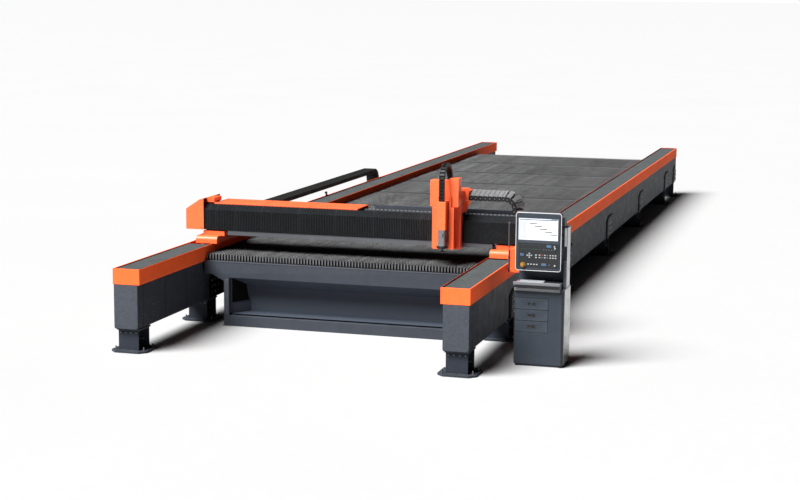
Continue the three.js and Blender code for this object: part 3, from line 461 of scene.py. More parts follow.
def rail_details(side, sign):
    x0, x1, y0, y1, z0, z1 = span(f"{side}_rail_cover")
    outer_x = x0 if sign > 0 else x1
    beam_out = outer_x + sign * 0.008
    beam_in = outer_x + sign * 0.312
    middle = (beam_out + beam_in) / 2
    face = y0 + 0.007
    low = 0.283
    plate = Shape()
    half = 0.148
    outline = [(middle - half, low + 0.03), (middle - half + 0.024, low + 0.006)]
    outline += [(middle + half - 0.024, low + 0.006), (middle + half, low + 0.03)]
    outline += [(middle + half, z0 - 0.004), (middle - half, z0 - 0.004)]
    plate.prism("y", outline, face - 0.004, face + 0.004)
    plate.make(f"{side}_beam_end_plate", slate, "base", 0.002)
    heads = Shape()
    for dx in (-0.115, 0.115):
        for z in (0.34, 0.45, 0.6, 0.74):
            heads.bolt((middle + dx, face - 0.004, z), "y", -1, 0.0055)
    heads.make(f"{side}_end_plate_bolts", slate, "base")
    bolts = Shape()
    for y, z in ((0.09, 0.34), (0.09, 0.42), (0.09, 0.5), (0.42, 0.52), (0.42, 0.62), (0.42, 0.4)):
        bolts.bolt((beam_in, y0 + y, z), "x", sign, 0.009)
    for k, start in enumerate(LEG_FRONTS):
        front = y0 + 0.004 + start
        for i in range(5):
            along = front + 0.03 + i * (LEG_DEPTH - 0.06) / 4
            for s in (-1, 1):
                bolts.bolt((middle + s * (FLANGE / 2 - 0.004), along, 0.262), "z", -1, 0.011)
        for i in range(4):
            across = middle + (i - 1.5) * 0.066
            bolts.bolt((across, front - 0.0005, 0.236), "y", -1, 0.009)
        for sx in (-1, 1):
            for sy in (-1, 1):
                spot = (middle + sx * 0.178, front + LEG_DEPTH / 2 + sy * 0.12, 0.025)
                bolts.bolt(spot, "z", 1, 0.016)
                stud = [(0.008, 0.0), (0.008, 0.036), (0.006, 0.04)]
                bolts.turned(spot, "z", stud, 10)
    bolts.make(f"{side}_rail_bolts", zinc, "base")
    legs = Shape()
    for start in LEG_FRONTS:
        front = y0 + 0.004 + start
        rear = front + LEG_DEPTH
        for s in (-1, 1):
            rib = [(middle + s * 0.012, 0.024), (middle + s * 0.12, 0.024), (middle + s * 0.012, 0.12)]
            legs.prism("y", rib, front + 0.145, front + 0.157)
            for y in (front, rear):
                weld = [(middle + s * 0.02, 0.024), (middle + s * 0.127, 0.024), (middle + s * 0.02, 0.032)]
                legs.prism("y", weld, y - 0.004, y + 0.004)
        legs.box(middle - 0.125, middle + 0.125, front + 0.14, front + 0.16, 0.14, 0.152)
    legs.make(f"{side}_leg_gussets", slate, "base", 0.0015)
    brackets = Shape()
    out = beam_out - sign * 0.006
    for start in LEG_FRONTS[1:]:
        front = y0 + 0.004 + start
        a, b = sorted((beam_out, out))
        rear = min(front + 0.5, y1 - 0.012)
        plate_side = [(front + 0.02, 0.3), (rear, 0.3), (rear, 0.52), (rear - 0.08, 0.6)]
        plate_side += [(front + 0.1, 0.6), (front + 0.02, 0.54)]
        brackets.prism("x", plate_side, a, b)
        # Part 1, the inner plate and the hook, is near black: painted shade for the dark slot by each leg.
        inner = sorted((beam_in + sign * 0.001, beam_in + sign * 0.007))
        brackets.prism("x", plate_side, *inner, 1)
        a, b = sorted((beam_out - sign * 0.001, out - sign * 0.003))
        hook = [(front - 0.12, 0.29), (front + 0.0, 0.29), (front + 0.0, 0.55), (front + 0.12, 0.62)]
        hook += [(rear - 0.08, 0.62), (rear - 0.08, 0.65), (front + 0.04, 0.65), (front - 0.12, 0.58)]
        brackets.prism("x", hook, a, b, 1)
        for i in range(3):
            for j in range(3):
                along, high = front + 0.09 + 0.1 * i, 0.36 + 0.08 * j
                brackets.bolt((out, along, high), "x", -sign, 0.017, 2)
                brackets.bolt((beam_in + sign * 0.007, along, high), "x", sign, 0.014, 2)
    brackets.make(f"{side}_rail_brackets", [slate_rail, shade_black, steel], "base", 0.001)
    for part, count in (("front", 268), ("rear", 378)):
        bx0, bx1, by0, by1, bz0, bz1 = span(f"{side}_{part}_bellows")
        outer, inner = flat_fold(bx0, bx1, bz0, bz1 - 0.001, 0.007)
        name = f"{side}_{part}_rail_bellows"
        cover = bellows(name, outer, inner, "y", by0, by1, count, rail_cloth)
        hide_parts(f"{side}_{part}_bellows")
        if part == "front":
            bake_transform(cover)
        else:
            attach(cover, "base")
            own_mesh(cover)
    wipers = Shape()
    x = x1 - 0.0135 if side == "left" else x0 + 0.0055
    wipers.box(x, x + 0.008, y0 + 0.02, y1 - 0.02, z1 - 0.002, z1 + 0.0012)
    wipers.make(f"{side}_rail_wipers", black, "base")
    dress(f"{side}_rail_cover", orange_rail, 0.003)
    dress(f"{side}_rail_frame", slate_rail, 0.0025)
    dress(f"{side}_guide_rail", steel, 0.001)
    dress(f"{side}_rack", steel, 0.001)


rail_details("left", 1)
rail_details("right", -1)


def rail_marker():
    """The small dark sensor bracket on the outer lip of the left rail."""
    x0, x1, y0, y1, z0, z1 = span("left_rail_cover")
    y = y0 + 7.66
    made = Shape()
    made.box(x0 + 0.001, x0 + 0.013, y - 0.05, y + 0.05, z1, z1 + 0.006)
    made.box(x0 + 0.003, x0 + 0.009, y - 0.035, y + 0.035, z1 + 0.004, z1 + 0.05)
    made.box(x0 - 0.014, x0 + 0.012, y - 0.028, y + 0.028, z1 + 0.03, z1 + 0.057)
    made.bolt((x0 + 0.0075, y + 0.043, z1 + 0.006), "z", 1, 0.004, 1)
    made.bolt((x0 + 0.0075, y - 0.043, z1 + 0.006), "z", 1, 0.004, 1)
    made.make("rail_end_sensor", [black, zinc], "base", 0.001)


rail_marker()


# ---- bed ----
def slats():
    x0, x1, y0, y1, z0, z1 = span("slat_field")
    count, modules, teeth, thick = 91, 8, 26, 0.009
    length = (y1 - y0) / modules
    verts, faces = [], []
    steel_pitch = (x1 - x0 - thick) / (count - 1)
    random.seed(7)
    for i in range(count):
        for m in range(modules):
            lean = random.uniform(-0.0012, 0.0012)
            dip = random.uniform(0.0, 0.004)
            x = x0 + i * steel_pitch
            a, b = y0 + m * length + (0.05 if m else 0.004), y0 + (m + 1) * length - 0.08
            top = []
            for t in range(teeth):
                start = a + (b - a) * t / teeth
                step = (b - a) / teeth
                worn = random.uniform(0.0, 0.003)
                top.append((start, z1 - 0.026))
                top.append((start + step * 0.25, z1 - dip - worn))
                top.append((start + step * 0.7, z1 - dip - worn))
            top.append((b, z1 - 0.026))
            base = len(verts)
            n = len(top)
            for dx in (0.0, thick):
                verts += [(x + dx + lean, y, z) for y, z in top]
                verts += [(x + dx, y, z0 + 0.003) for y, z in top]
            for k in range(n - 1):
                faces.append((base + k, base + k + 1, base + n + k + 1, base + n + k))
                far = base + 2 * n
                faces.append((far + k + 1, far + k, far + n + k, far + n + k + 1))
                faces.append((base + k + 1, base + k, far + k, far + k + 1))
            faces.append((base, base + n, base + 3 * n, base + 2 * n))
            faces.append((base + n - 1, base + 3 * n - 1, base + 4 * n - 1, base + 2 * n - 1))
    shape = Shape()
    shape.add(verts, faces)
    shape.make("slats", slat_steel, "base", replaces=["slat_field"])
    combs = Shape()
    for m in range(modules + 1):
        y = min(max(y0 + m * length, y0 + 0.012), y1 - 0.012)
        deep = z0 + 0.012 if m == 0 else z1 - 0.056
        # Part 1, the foot of each comb, is near black: painted shade along the module joints.
        combs.box(x0, x1, y - 0.006, y + 0.01, z0 + 0.003, deep, 1)
        for i in range(count):
            x = x0 + i * steel_pitch + thick / 2
            left, right = max(x - 0.0085, x0), min(x + 0.0085, x1)
            finger = [(left, deep), (right, deep), (right, z1 - 0.012)]
            finger += [(right - 0.005, z1 - 0.004), (left + 0.005, z1 - 0.004), (left, z1 - 0.012)]
            combs.prism("y", finger, y - 0.009, y - 0.004)
    # A near-black sheet behind the front comb: painted shade in the gaps between the fingers.
    combs.box(x0, x1, y0 + 0.022, y0 + 0.026, z0 + 0.003, z1 - 0.03, 1)
    combs.make("slat_combs", [comb_steel, shade_black], "base")
    bars = Shape()
    for m in range(modules):
        for share in (0.25, 0.5, 0.75):
            y = y0 + (m + share) * length
            bars.box(x0, x1, y - 0.004, y + 0.004, z0 + 0.002, z1 - 0.034)
    bars.box(x0, x1, y1 - 0.008, y1, z0 + 0.002, z1 - 0.03)
    # A thin near-black sheet under the slats: painted shade below the bed.
    bars.box(x0, x1, y0 + 0.01, y1 - 0.01, z0 - 0.001, z0 + 0.001, 0)
    bars.make("slat_cross_bars", under_bed_shade, "base")


slats()


PANEL_LAP = 0.08  # the recessed panel runs on behind its left end sheet


def bed_details():
    x0, x1, y0, y1, z0, z1 = span("bed_front_frame")
    lip = Shape()
    lip.box(x0 + 0.002, x1 - 0.002, y0 - 0.004, y1 + 0.01, z1, z1 + 0.004)
    lip.box(x0 + 0.002, x1 - 0.002, y0 - 0.0015, y0 + 0.004, z1 - 0.004, z1 + 0.004)
    lip.make("bed_front_lip", slate, "base", 0.0015)
    post_in = x0 + 0.333
    trim = Shape()
    for left, right in ((post_in - 0.07, post_in), (x1 - 0.315 - 0.018, x1 - 0.245 - 0.018)):
        trim.box(left + 0.006, right - 0.006, y0 - 0.004, y0 + 0.002, 0.14, 0.6)
        trim.box(left - 0.012, right + 0.012, y0 - 0.012, y1 + 0.012, 0.0, 0.012)
    trim.make("bed_post_trim", slate, "base", 0.002)
    bolts = Shape()
    for x in (x0 + 0.02, x0 + 0.075, x1 - 0.075, x1 - 0.02):
        for z in (0.7, 0.79):
            bolts.bolt((x, y0, z), "y", -1, 0.006)
    bolts.make("bed_front_bolts", slate, "base")
    dress("bed_front_frame", slate, 0.003)
    dress("bed_front_panel", slate_deep, 0.002)
    a0, a1, b0, b1, c0, c1 = span("bed_front_panel")
    # Near-black sheets in the slanted ends of the recess: painted shade where the end sheets lie in shadow.
    ends = Shape()
    for side, corner in ((1, a0 + PANEL_LAP), (-1, a1)):
        outline = [(0.06, 0.14), (0.06, 0.44), (0.22, 0.455), (0.74, 0.36), (0.86, 0.17), (0.86, 0.155)]
        verts = []
        for off in (0.0, 0.004):
            for share, z in outline:
                verts.append((corner + side * (0.19 * share + 0.007 + off), b0 + 0.23 * share, c0 + z))
        ends.loft(verts)
    ends.make("recess_end_shade_sheets", shade_black, "base")
    shelf = Shape()
    left, right, rear = a0 + PANEL_LAP + 0.004, a1 - 0.004, b1 - 0.004
    spots = [(left, b0), (right, b0), (right - 0.19, rear), (left + 0.19, rear)]
    shelf.prism("z", spots, c0 - 0.001, c0 + 0.005)
    shelf.make("recess_floor", slate_deep, "base", 0.001)
    dress("bed_base_frame", slate, 0.002)


bed_details()


# ---- cable chains ----
def chain_link(shape, turn, pitch, width, height, rear=None):
    """One link in its own frame: u along the chain, v outward from the bend, w across it."""
    rear = rear or height
    half = pitch / 2

    def plate(w0, w1, tall):
        r = tall * 0.22
        a, b = -half * 1.06, half * 0.94
        outline = [(a, r), (a + r, 0), (b - r, 0), (b, r)]
        outline += [(b, tall - r), (b - r, tall), (a + r, tall), (a, tall - r)]
        shape.prism("z", outline, w0, w1, 0, turn)
        shape.turned((0, tall / 2, w0), "z", [(tall * 0.15, -0.002), (tall * 0.15, 0.0)], 10, 2, turn)

    thick = width * 0.05
    plate(0.0, thick, height)
    plate(width - thick, width, rear)
    reach = half * 0.86
    a, b = height - 0.008, rear - 0.008
    verts = [(-reach, a, thick), (reach, a, thick), (reach, b, width - thick), (-reach, b, width - thick)]
    shape.loft(verts + [(u, v + 0.006, w) for u, v, w in verts], 1, turn)
    for share in (-0.5, 0.0, 0.5):
        u = reach * share
        ridge = [(u - 0.004, a + 0.006, thick), (u + 0.004, a + 0.006, thick)]
        ridge += [(u + 0.004, b + 0.006, width - thick), (u - 0.004, b + 0.006, width - thick)]
        shape.loft(ridge + [(p, q + 0.003, w) for p, q, w in ridge], 1, turn)
    verts = [(-reach, 0.003, thick), (reach, 0.003, thick)]
    verts += [(reach, 0.003, width - thick), (-reach, 0.003, width - thick)]
    shape.loft(verts + [(u, v + 0.006, w) for u, v, w in verts], 0, turn)


def axes(origin, u, v, w):
    turn = Matrix((u, v, w)).transposed().to_4x4()
    turn.translation = origin
    return turn


def chain_run(name, start, end, v, w, pitch, width, height, mats, rear=None):
    """Straight links from start to end. v is the outward side and w runs across the chain."""
    start, end = Vector(start), Vector(end)
    length = (end - start).length
    u = (end - start) / length
    count = max(1, round(length / pitch))
    shape = Shape()
    for i in range(count):
        origin = start + u * (length * (i + 0.5) / count)
        chain_link(shape, axes(origin, u, Vector(v), Vector(w)), length / count, width, height, rear)
    return shape.make(name, mats, angle=30)


def chain_bend(name, centre, along, width_axis, inside, tail, pitch, width, height, mats, rear=None):
    """Links round a half turn, with a short straight tail at each end."""
    shape = Shape()
    along, across, up = Vector(along), Vector(width_axis), Vector((0, 0, 1))
    middle = inside + height / 2
    count = max(3, round(math.pi * middle / pitch))
    for i in range(count):
        angle = math.pi / 2 - math.pi * (i + 0.5) / count
        v = along * math.cos(angle) + up * math.sin(angle)
        u = along * math.sin(angle) - up * math.cos(angle)
        origin = centre + v * inside
        chain_link(shape, axes(origin, u, v, across), math.pi * middle / count, width, height, rear)
    for s in (1, -1):
        origin = centre - along * (tail / 2) + up * (s * inside)
        chain_link(shape, axes(origin, along * s, up * s, across), tail * 0.9, width, height, rear)
    return shape.make(name, mats, angle=30)


def long_chain():
    x0, x1, y0, y1, z0, z1 = span("long_chain_upper_run")
    args = (0.1, x1 - x0, z1 - z0, [plastic, plastic, dark_steel])
    run = chain_run("long_chain_top", (x0, y0, z0), (x0, y1, z0), (0, 0, 1), (1, 0, 0), *args)
    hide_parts("long_chain_upper_run")
    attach(run, "gantry")
    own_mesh(run)
    bx0, bx1, by0, by1, bz0, bz1 = span("long_chain_bend")
    centre = Vector((bx0, by0 + 0.06, (bz0 + bz1) / 2))
    inside = (bz1 - bz0) / 2 - (z1 - z0)
    bend = chain_bend("long_chain_loop", centre, (0, 1, 0), (1, 0, 0), inside, 0.06, *args)
    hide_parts("long_chain_bend")
    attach(bend, "long_chain")
    lx0, lx1, ly0, ly1, lz0, lz1 = span("long_chain_lower_run")
    low = Shape()
    steps = 24
    ring = [(lx0, lz0 + 0.012), (lx0 + 0.008, lz0), (lx1 - 0.008, lz0), (lx1, lz0 + 0.012)]
    ring += [(lx1, lz1 - 0.012), (lx1 - 0.008, lz1), (lx0 + 0.008, lz1), (lx0, lz1 - 0.012)]
    n = len(ring)
    verts = [place("y", *p, ly0 + (ly1 - ly0) * k / steps) for k in range(steps + 1) for p in ring]
    faces = [
        (k * n + i, k * n + (i + 1) % n, (k + 1) * n + (i + 1) % n, (k + 1) * n + i)
        for k in range(steps)
        for i in range(n)
    ]
    low.add(verts, faces + [tuple(range(n)), tuple(range(steps * n, (steps + 1) * n))])
    lower = low.make("long_chain_floor_run", stripes, replaces=["long_chain_lower_run"])
    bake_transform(lower)


long_chain()


def beam_chain():
    mats = [plastic, lid_grey, strip_grey]
    x0, x1, y0, y1, z0, z1 = span("beam_chain_upper_run")
    front, rear = 0.06, 0.115
    args = (0.062, y1 - y0, front, mats, rear)

    def spread(name, node, z, out, count, stops):
        a, b = span(node)[:2]
        for k in range(len(stops) - 1):
            shares = [0.5 * stop / count for stop in stops[k:k + 2]]
            ends = [a + (b - a) * 2 * share for share in shares]
            from_to = (ends[0], y0, z), (ends[1], y0, z)
            part = chain_run(f"{name}_{k + 1}", *from_to, (0, 0, out), (0, 1, 0), *args)
            if k == 0:
                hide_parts(node)
            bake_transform(part)

    spread("beam_chain_top", "beam_chain_upper_run", z0, 1, 7, range(8))
    bx0, bx1, by0, by1, bz0, bz1 = span("beam_chain_bend")
    centre = Vector((bx0 + 0.04, y0, (bz0 + bz1) / 2))
    bend = chain_bend("beam_chain_loop", centre, (1, 0, 0), (0, 1, 0), 0.09, 0.04, *args)
    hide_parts("beam_chain_bend")
    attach(bend, "beam_chain")
    low_top = span("beam_chain_lower_run")[5]
    stops = (0, 1, 2, 4, 7, 12, 19, 27)
    spread("beam_chain_floor_run", "beam_chain_lower_run", low_top, -1, 27, stops)


beam_chain()


def z_chain():
    x0, x1, y0, y1, z0, z1 = span("z_chain")
    thick, pitch = 0.045, 0.043
    radius = (y1 - y0 - thick) / 2
    centre = Vector(((x0 + x1) / 2, (y0 + y1) / 2, z1 - thick / 2 - radius))
    rear_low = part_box("carriage_saddle")[1].z + 0.001 - 0.018
    stops = []
    front_length = centre.z - z0
    arch = math.pi * radius
    rear_length = centre.z - rear_low
    total = front_length + arch + rear_length
    count = round(total / pitch)
    for i in range(count):
        s = total * (i + 0.5) / count
        if s < front_length:
            stops.append((Vector((centre.x, y0 + thick / 2, z0 + s)), Vector((0, 0, 1)), Vector((0, -1, 0))))
        elif s < front_length + arch:
            a = math.pi - (s - front_length) / radius
            out = Vector((0, math.cos(a), math.sin(a)))
            stops.append((centre + out * radius, Vector((0, math.sin(a), -math.cos(a))), out))
        else:
            drop = s - front_length - arch
            spot = Vector((centre.x, y1 - thick / 2, centre.z - drop))
            stops.append((spot, Vector((0, 0, -1)), Vector((0, 1, 0))))
    shape = Shape()
    step = total / count
    half = (x1 - x0) / 2
    for spot, u, v in stops:
        turn = axes(spot, u, v, Vector((1, 0, 0)))
        h = thick / 2
        for s in (-1, 1):
            a, b = sorted((s * half, s * (half - 0.009)))
            outline = [(-step * 0.53, -h * 0.6), (-step * 0.3, -h), (step * 0.3, -h), (step * 0.5, -h * 0.6)]
            outline += [(step * 0.5, h * 0.6), (step * 0.3, h), (-step * 0.3, h), (-step * 0.53, h * 0.6)]
            shape.prism("z", outline, a, b, 0, turn)
        for side in (-1, 1):
            shape.box(-step * 0.26, step * 0.26, side * h * 0.98 - 0.003, side * h * 0.98 + 0.003,
                      -half + 0.008, half - 0.008, 1, turn)
        shape.box(-step * 0.5, step * 0.5, -h * 0.4, h * 0.4, -half + 0.014, half - 0.014, 2, turn)
    mats = [plastic, dark_steel, rubber]
    made = shape.make("vertical_chain", mats, replaces=["z_chain"])
    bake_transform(made)


z_chain()


def chain_supports():
    x0, x1, y0, y1, z0, z1 = span("chain_tray")
    edge = Shape()
    edge.box(x0 - 0.001, x0 + 0.012, y0, y1, z1 - 0.003, z1 + 0.002)
    for k in range(24):
        y = y0 + 0.2 + k * (y1 - y0 - 0.4) / 23
        edge.box(x0 - 0.004, x0, y - 0.02, y + 0.02, z0 + 0.07, z1 - 0.03, 0)
        edge.bolt((x0 - 0.004, y, z1 - 0.05), "x", -1, 0.006, 1)
    edge.make("chain_tray_edge", [slate, zinc], "base", 0.001)
    dress("chain_tray", slate, 0.0015)


chain_supports()


# ---- gantry ----
def beam_bellows():
    x0, x1, y0, y1, z0, z1 = span("left_beam_bellows")

    def section(push):
        return [
            (y0 + 0.024, z0 + 0.002),
            (y0 + push, z0 + 0.002),
            (y0 + push, z1 - 0.076 - push * 0.4),
            (y1 - 0.002, z1 - 0.002 - push),
            (y1, z1 - 0.002 - push),
        ]

    outer, inner = section(0.001), section(0.013)
    folds = 140
    stops = [0, 0.02, 0.06, 0.14, 0.26, 0.42, 0.58, 0.74, 0.86, 0.94, 0.98, 1]
    stops = [round(folds * s) for s in stops]

    for k in range(len(stops) - 1):
        first, last = stops[k], stops[k + 1]
        name = f"left_beam_bellows_{k + 1:02d}"
        part = bellows(name, outer, inner, "x", x0, x1, folds, cloth, first, last)
        if k == 0:
            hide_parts("left_beam_bellows")
        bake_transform(part)
    rx0, rx1 = span("right_beam_bellows")[:2]
    part = bellows("right_beam_folds", outer, section(0.004), "x", rx0, rx1, 110, cloth)
    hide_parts("right_beam_bellows")
    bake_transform(part)


beam_bellows()


def motor(side):
    x0, x1, y0, y1, z0, z1 = span(f"{side}_drive_motor")
    cx, cy = (x0 + x1) / 2, (y0 + y1) / 2
    shape = Shape()
    gear_top = z0 + 0.095
    shape.box(x0, x1, y0, y1, z0, z0 + 0.022, 0)
    shape.turned((cx, cy, 0), "z", [(0.062, z0 + 0.02), (0.062, gear_top - 0.012), (0.052, gear_top)], 28)
    body_low, body_high = gear_top + 0.004, z1 - 0.055
    shape.box(cx - 0.052, cx + 0.052, cy - 0.052, cy + 0.052, gear_top - 0.004, body_low + 0.016, 0)
    shape.turned((cx, cy, 0), "z", [(0.045, body_low), (0.045, body_high)], 28)
    for k in range(9):
        z = body_low + 0.02 + k * (body_high - body_low - 0.03) / 8
        shape.box(cx - 0.05, cx + 0.05, cy - 0.05, cy + 0.05, z, z + 0.005, 0)
    shape.box(cx - 0.05, cx + 0.05, cy - 0.05, cy + 0.05, body_high - 0.002, z1 - 0.012, 0)
    shape.turned((cx, cy, 0), "z", [(0.042, z1 - 0.014), (0.04, z1 - 0.002), (0.03, z1)], 28)
    shape.box(cx - 0.03, cx + 0.03, cy + 0.046, cy + 0.066, body_high - 0.01, z1 - 0.02, 1)
    for sx in (-1, 1):
        for sy in (-1, 1):
            shape.bolt((cx + sx * 0.058, cy + sy * 0.058, z0 + 0.022), "z", 1, 0.006, 2)
    name = f"{side}_servo_motor"
    shape.make(name, [black, rubber, zinc], "gantry", 0.0015, [f"{side}_drive_motor"])


def foot_details(side):
    x0, x1, y0, y1, z0, z1 = span(f"{side}_gantry_foot")
    bolts = Shape()
    top = 1.095
    for i in range(5):
        y = y0 + 0.62 + i * 0.07
        bolts.bolt((x0 + 0.04, y, top), "z", 1, 0.009)
    for i in range(3):
        bolts.bolt((x0 + 0.06 + i * 0.06, y1 - 0.002, 1.045), "y", 1, 0.008)
    bolts.make(f"{side}_foot_bolts", zinc, "gantry")
    dress(f"{side}_gantry_foot", orange, 0.004)
    dress(f"{side}_drive_pinion", steel, 0.0005)
    dress(f"{side}_end_cover", orange, 0.004)
    motor(side)


foot_details("left")
foot_details("right")


def beam_details():
    dress("gantry_beam", slate, 0.003)
    dress("beam_lower_strip", strip_grey, 0.002)
    dress("beam_top_cover", orange_top, 0.002)
    dress("chain_trough", slate, 0.0015)
    for node in ("beam_lower_guide", "beam_upper_guide", "beam_rack"):
        dress(node, steel, 0.001)
    tx0, tx1, ty0, ty1, tz0, tz1 = span("chain_trough")
    lip = Shape()
    pitch = 0.052
    count = int((tx1 - tx0 - 0.06) / pitch)
    for i in range(count):
        x = tx0 + 0.05 + i * pitch
        lip.box(x, x + 0.032, ty0 - 0.003, ty0 + 0.006, tz1 - 0.001, tz1 + 0.004)
        lip.box(x + 0.004, x + 0.028, ty0 - 0.003, ty0, tz1 - 0.01, tz1 + 0.002)
    lip.make("trough_lip_clips", silver, "gantry", 0.001)
    cx0, cx1, cy0, cy1, cz0, cz1 = span("beam_top_cover")
    seams = Shape()
    for share in (0.0, 0.33, 0.66, 1.0):
        x = cx0 + 0.004 + share * (cx1 - cx0 - 0.03)
        seams.box(x, x + 0.022, cy0 + 0.004, cy1 - 0.004, cz1 - 0.001, cz1 + 0.002)
        seams.bolt((x + 0.011, cy0 + 0.05, cz1 + 0.002), "z", 1, 0.005, 1)
        seams.bolt((x + 0.011, cy1 - 0.05, cz1 + 0.002), "z", 1, 0.005, 1)
    seams.make("top_cover_straps", [orange_top, zinc], "gantry", 0.001)
    ey0 = span("left_end_cover")[2]
    sx0, _, sy0 = span("right_end_cover")[:3]
    screws = Shape()
    for x, z in ((0.03, 1.2), (0.03, 1.4), (0.21, 1.2), (0.21, 1.5)):
        screws.bolt((cad_bounds[0].x + 0.234 + x, ey0, z), "y", -1, 0.006)
    for x, z in ((0.03, 0.94), (0.14, 0.94), (0.03, 1.13), (0.14, 1.13)):
        screws.bolt((sx0 + x, sy0 + 0.01, z), "y", -1, 0.006)
    for x, z in ((0.02, 1.28), (0.14, 1.28), (0.02, 1.53), (0.14, 1.53)):
        screws.bolt((sx0 + x, ey0, z), "y", -1, 0.006)
    screws.make("end_cover_screws", orange, "gantry")
    post = Shape()
    post.box(sx0 + 0.0045, sx0 + 0.0115, sy0 - 0.0015, sy0 + 0.009, 0.907, 1.5)
    post.box(sx0 - 0.0005, sx0 + 0.0045, sy0 - 0.0015, sy0 + 0.009, 0.907, 1.5, 1)
    post.box(sx0 - 0.002, sx0 + 0.013, sy0 - 0.003, sy0 + 0.011, 1.496, 1.506, 1)
    for z in (0.93, 1.08, 1.21):
        post.box(sx0 - 0.001, sx0 + 0.014, sy0 - 0.003, sy0 + 0.01, z, z + 0.014)
    post.make("side_switch_post", [black, silver], "gantry", 0.0008)


beam_details()


# ---- carriage ----
def carriage_details():
    dress("carriage_body", orange, 0.004)
    dress("carriage_housing", orange, 0.004)
    dress("carriage_saddle", orange, 0.003)
    dress("carriage_pinion", steel, 0.0005)
    dress("z_column", orange, 0.003)
    x0, x1, y0, y1, z0, z1 = span("carriage_body")
    hx0, hx1, hy0, hy1, hz0, hz1 = span("carriage_housing")
    screws = Shape()
    for z in (z0 + 0.05, z0 + 0.2, z0 + 0.35, z0 + 0.48):
        screws.bolt((x0 + 0.075, y0, z), "y", -1, 0.0055)
        screws.bolt((x0 + 0.29, y0, z), "y", -1, 0.0055)
        screws.bolt((x0 + 0.02, y0 + 0.145, z), "y", -1, 0.0055)
        screws.bolt((x1 - 0.02, y0 + 0.145, z), "y", -1, 0.0055)
    for z in (hz0 + 0.03, hz0 + 0.27):
        screws.bolt((hx0 + 0.03, hy0, z), "y", -1, 0.0055)
        screws.bolt((hx1 - 0.03, hy0, z), "y", -1, 0.0055)
    screws.make("carriage_screws", orange, "carriage")
    trim = Shape()
    trim.box(hx0 + 0.004, x0 + 0.112, hy0 + 0.006, hy1 - 0.006, hz1 - 0.032, hz1 - 0.028)
    trim.make("housing_lid", orange, "carriage", 0.002)


carriage_details()


def cutting_head():
    x0, x1, y0, y1, z0, z1 = span("cutting_head")
    cx = (x0 + x1) / 2
    body = Shape()
    c = 0.012

    def slab(low, high, grow, part=0):
        a0, a1, b0 = x0 + 0.006 - grow, x1 - 0.006 + grow, y0 + 0.006 - grow
        outline = [(a0 + c, b0), (a1 - c, b0), (a1, b0 + c), (a1, y1), (a0, y1), (a0, b0 + c)]
        body.prism("z", outline, low, high, part)

    slab(z0 + 0.002, z0 + 0.05, 0.004)
    slab(z0 + 0.052, z0 + 0.1, 0.0)
    slab(z0 + 0.1, z0 + 0.104, -0.004, 1)
    slab(z0 + 0.104, z1 - 0.03, 0.0)
    slab(z1 - 0.028, z1, 0.002)
    body.box(cx + 0.012, cx + 0.024, y0 + 0.0045, y0 + 0.01, z0 + 0.112, z1 - 0.042, 1)
    for s in (-1, 1):
        for z in (z0 + 0.012, z0 + 0.04, z1 - 0.014):
            body.bolt((cx + s * 0.03, y0 + 0.004, z), "y", -1, 0.004, 2)
    for s in (-1, 1):
        body.turned((cx + s * 0.042, (y0 + y1) / 2, z0 + 0.075), "x", [(0.016, 0), (0.016, s * 0.005)], 16, 1)
    body.make("laser_head_body", [silver, black, zinc], "z_axis", 0.0015, ["cutting_head"])
    nx0, nx1, ny0, ny1, nz0, nz1 = span("nozzle_and_sensor_ring")
    centre = ((nx0 + nx1) / 2, (ny0 + ny1) / 2, 0)
    nose = Shape()
    ring = nz0 + 0.064
    profile = [(0.001, ring), (0.068, ring), (0.0715, ring + 0.004), (0.0715, ring + 0.022)]
    profile.append((0.066, nz1 - 0.0005))
    nose.turned(centre, "z", profile + [(0.02, nz1)], 40, 0)
    neck = [(0.012, ring), (0.0125, nz0 + 0.03), (0.022, nz0 + 0.024), (0.0235, nz0 + 0.018)]
    nose.turned(centre, "z", neck[::-1], 28, 0)
    tip = [(0.0045, nz0 + 0.0005), (0.006, nz0), (0.0232, nz0 + 0.016), (0.0232, nz0 + 0.019)]
    nose.turned(centre, "z", tip, 28, 1)
    for k in range(8):
        angle = math.pi * k / 4
        spot = (centre[0] + 0.055 * math.cos(angle), centre[1] + 0.055 * math.sin(angle), ring)
        nose.turned(spot, "z", [(0.004, -0.003), (0.004, 0)], 8, 2)
    mats, node = [black, silver, zinc], "nozzle_and_sensor_ring"
    nose.make("sensor_ring_and_nozzle", mats, "z_axis", 0, [node])


cutting_head()


# ---- operator console ----
def rounded(x0, x1, z0, z1, radius, steps=5):
    """A rounded rectangle as a loop of points."""
    points = []
    left, right, low, high = x0 + radius, x1 - radius, z0 + radius, z1 - radius
    corners = [(right, high), (left, high), (left, low), (right, low)]
    for quarter, (cx, cz) in enumerate(corners):
        for i in range(steps + 1):
            angle = math.pi / 2 * (quarter + i / steps)
            points.append((cx + radius * math.cos(angle), cz + radius * math.sin(angle)))
    return points


def ring(shape, outer, inner, a, b, part=0):
    """A flat ring between two loops with the same number of points, from y = a to y = b."""
    n = len(outer)
    verts = [(x, y, z) for y in (a, b) for loop in (outer, inner) for x, z in loop]
    faces = []
    for i in range(n):
        j = (i + 1) % n
        faces += [(i, j, n + j, n + i), (2 * n + j, 2 * n + i, 3 * n + i, 3 * n + j)]
        faces += [(j, i, 2 * n + i, 2 * n + j), (n + i, n + j, 3 * n + j, 3 * n + i)]
    shape.add(verts, faces, part)


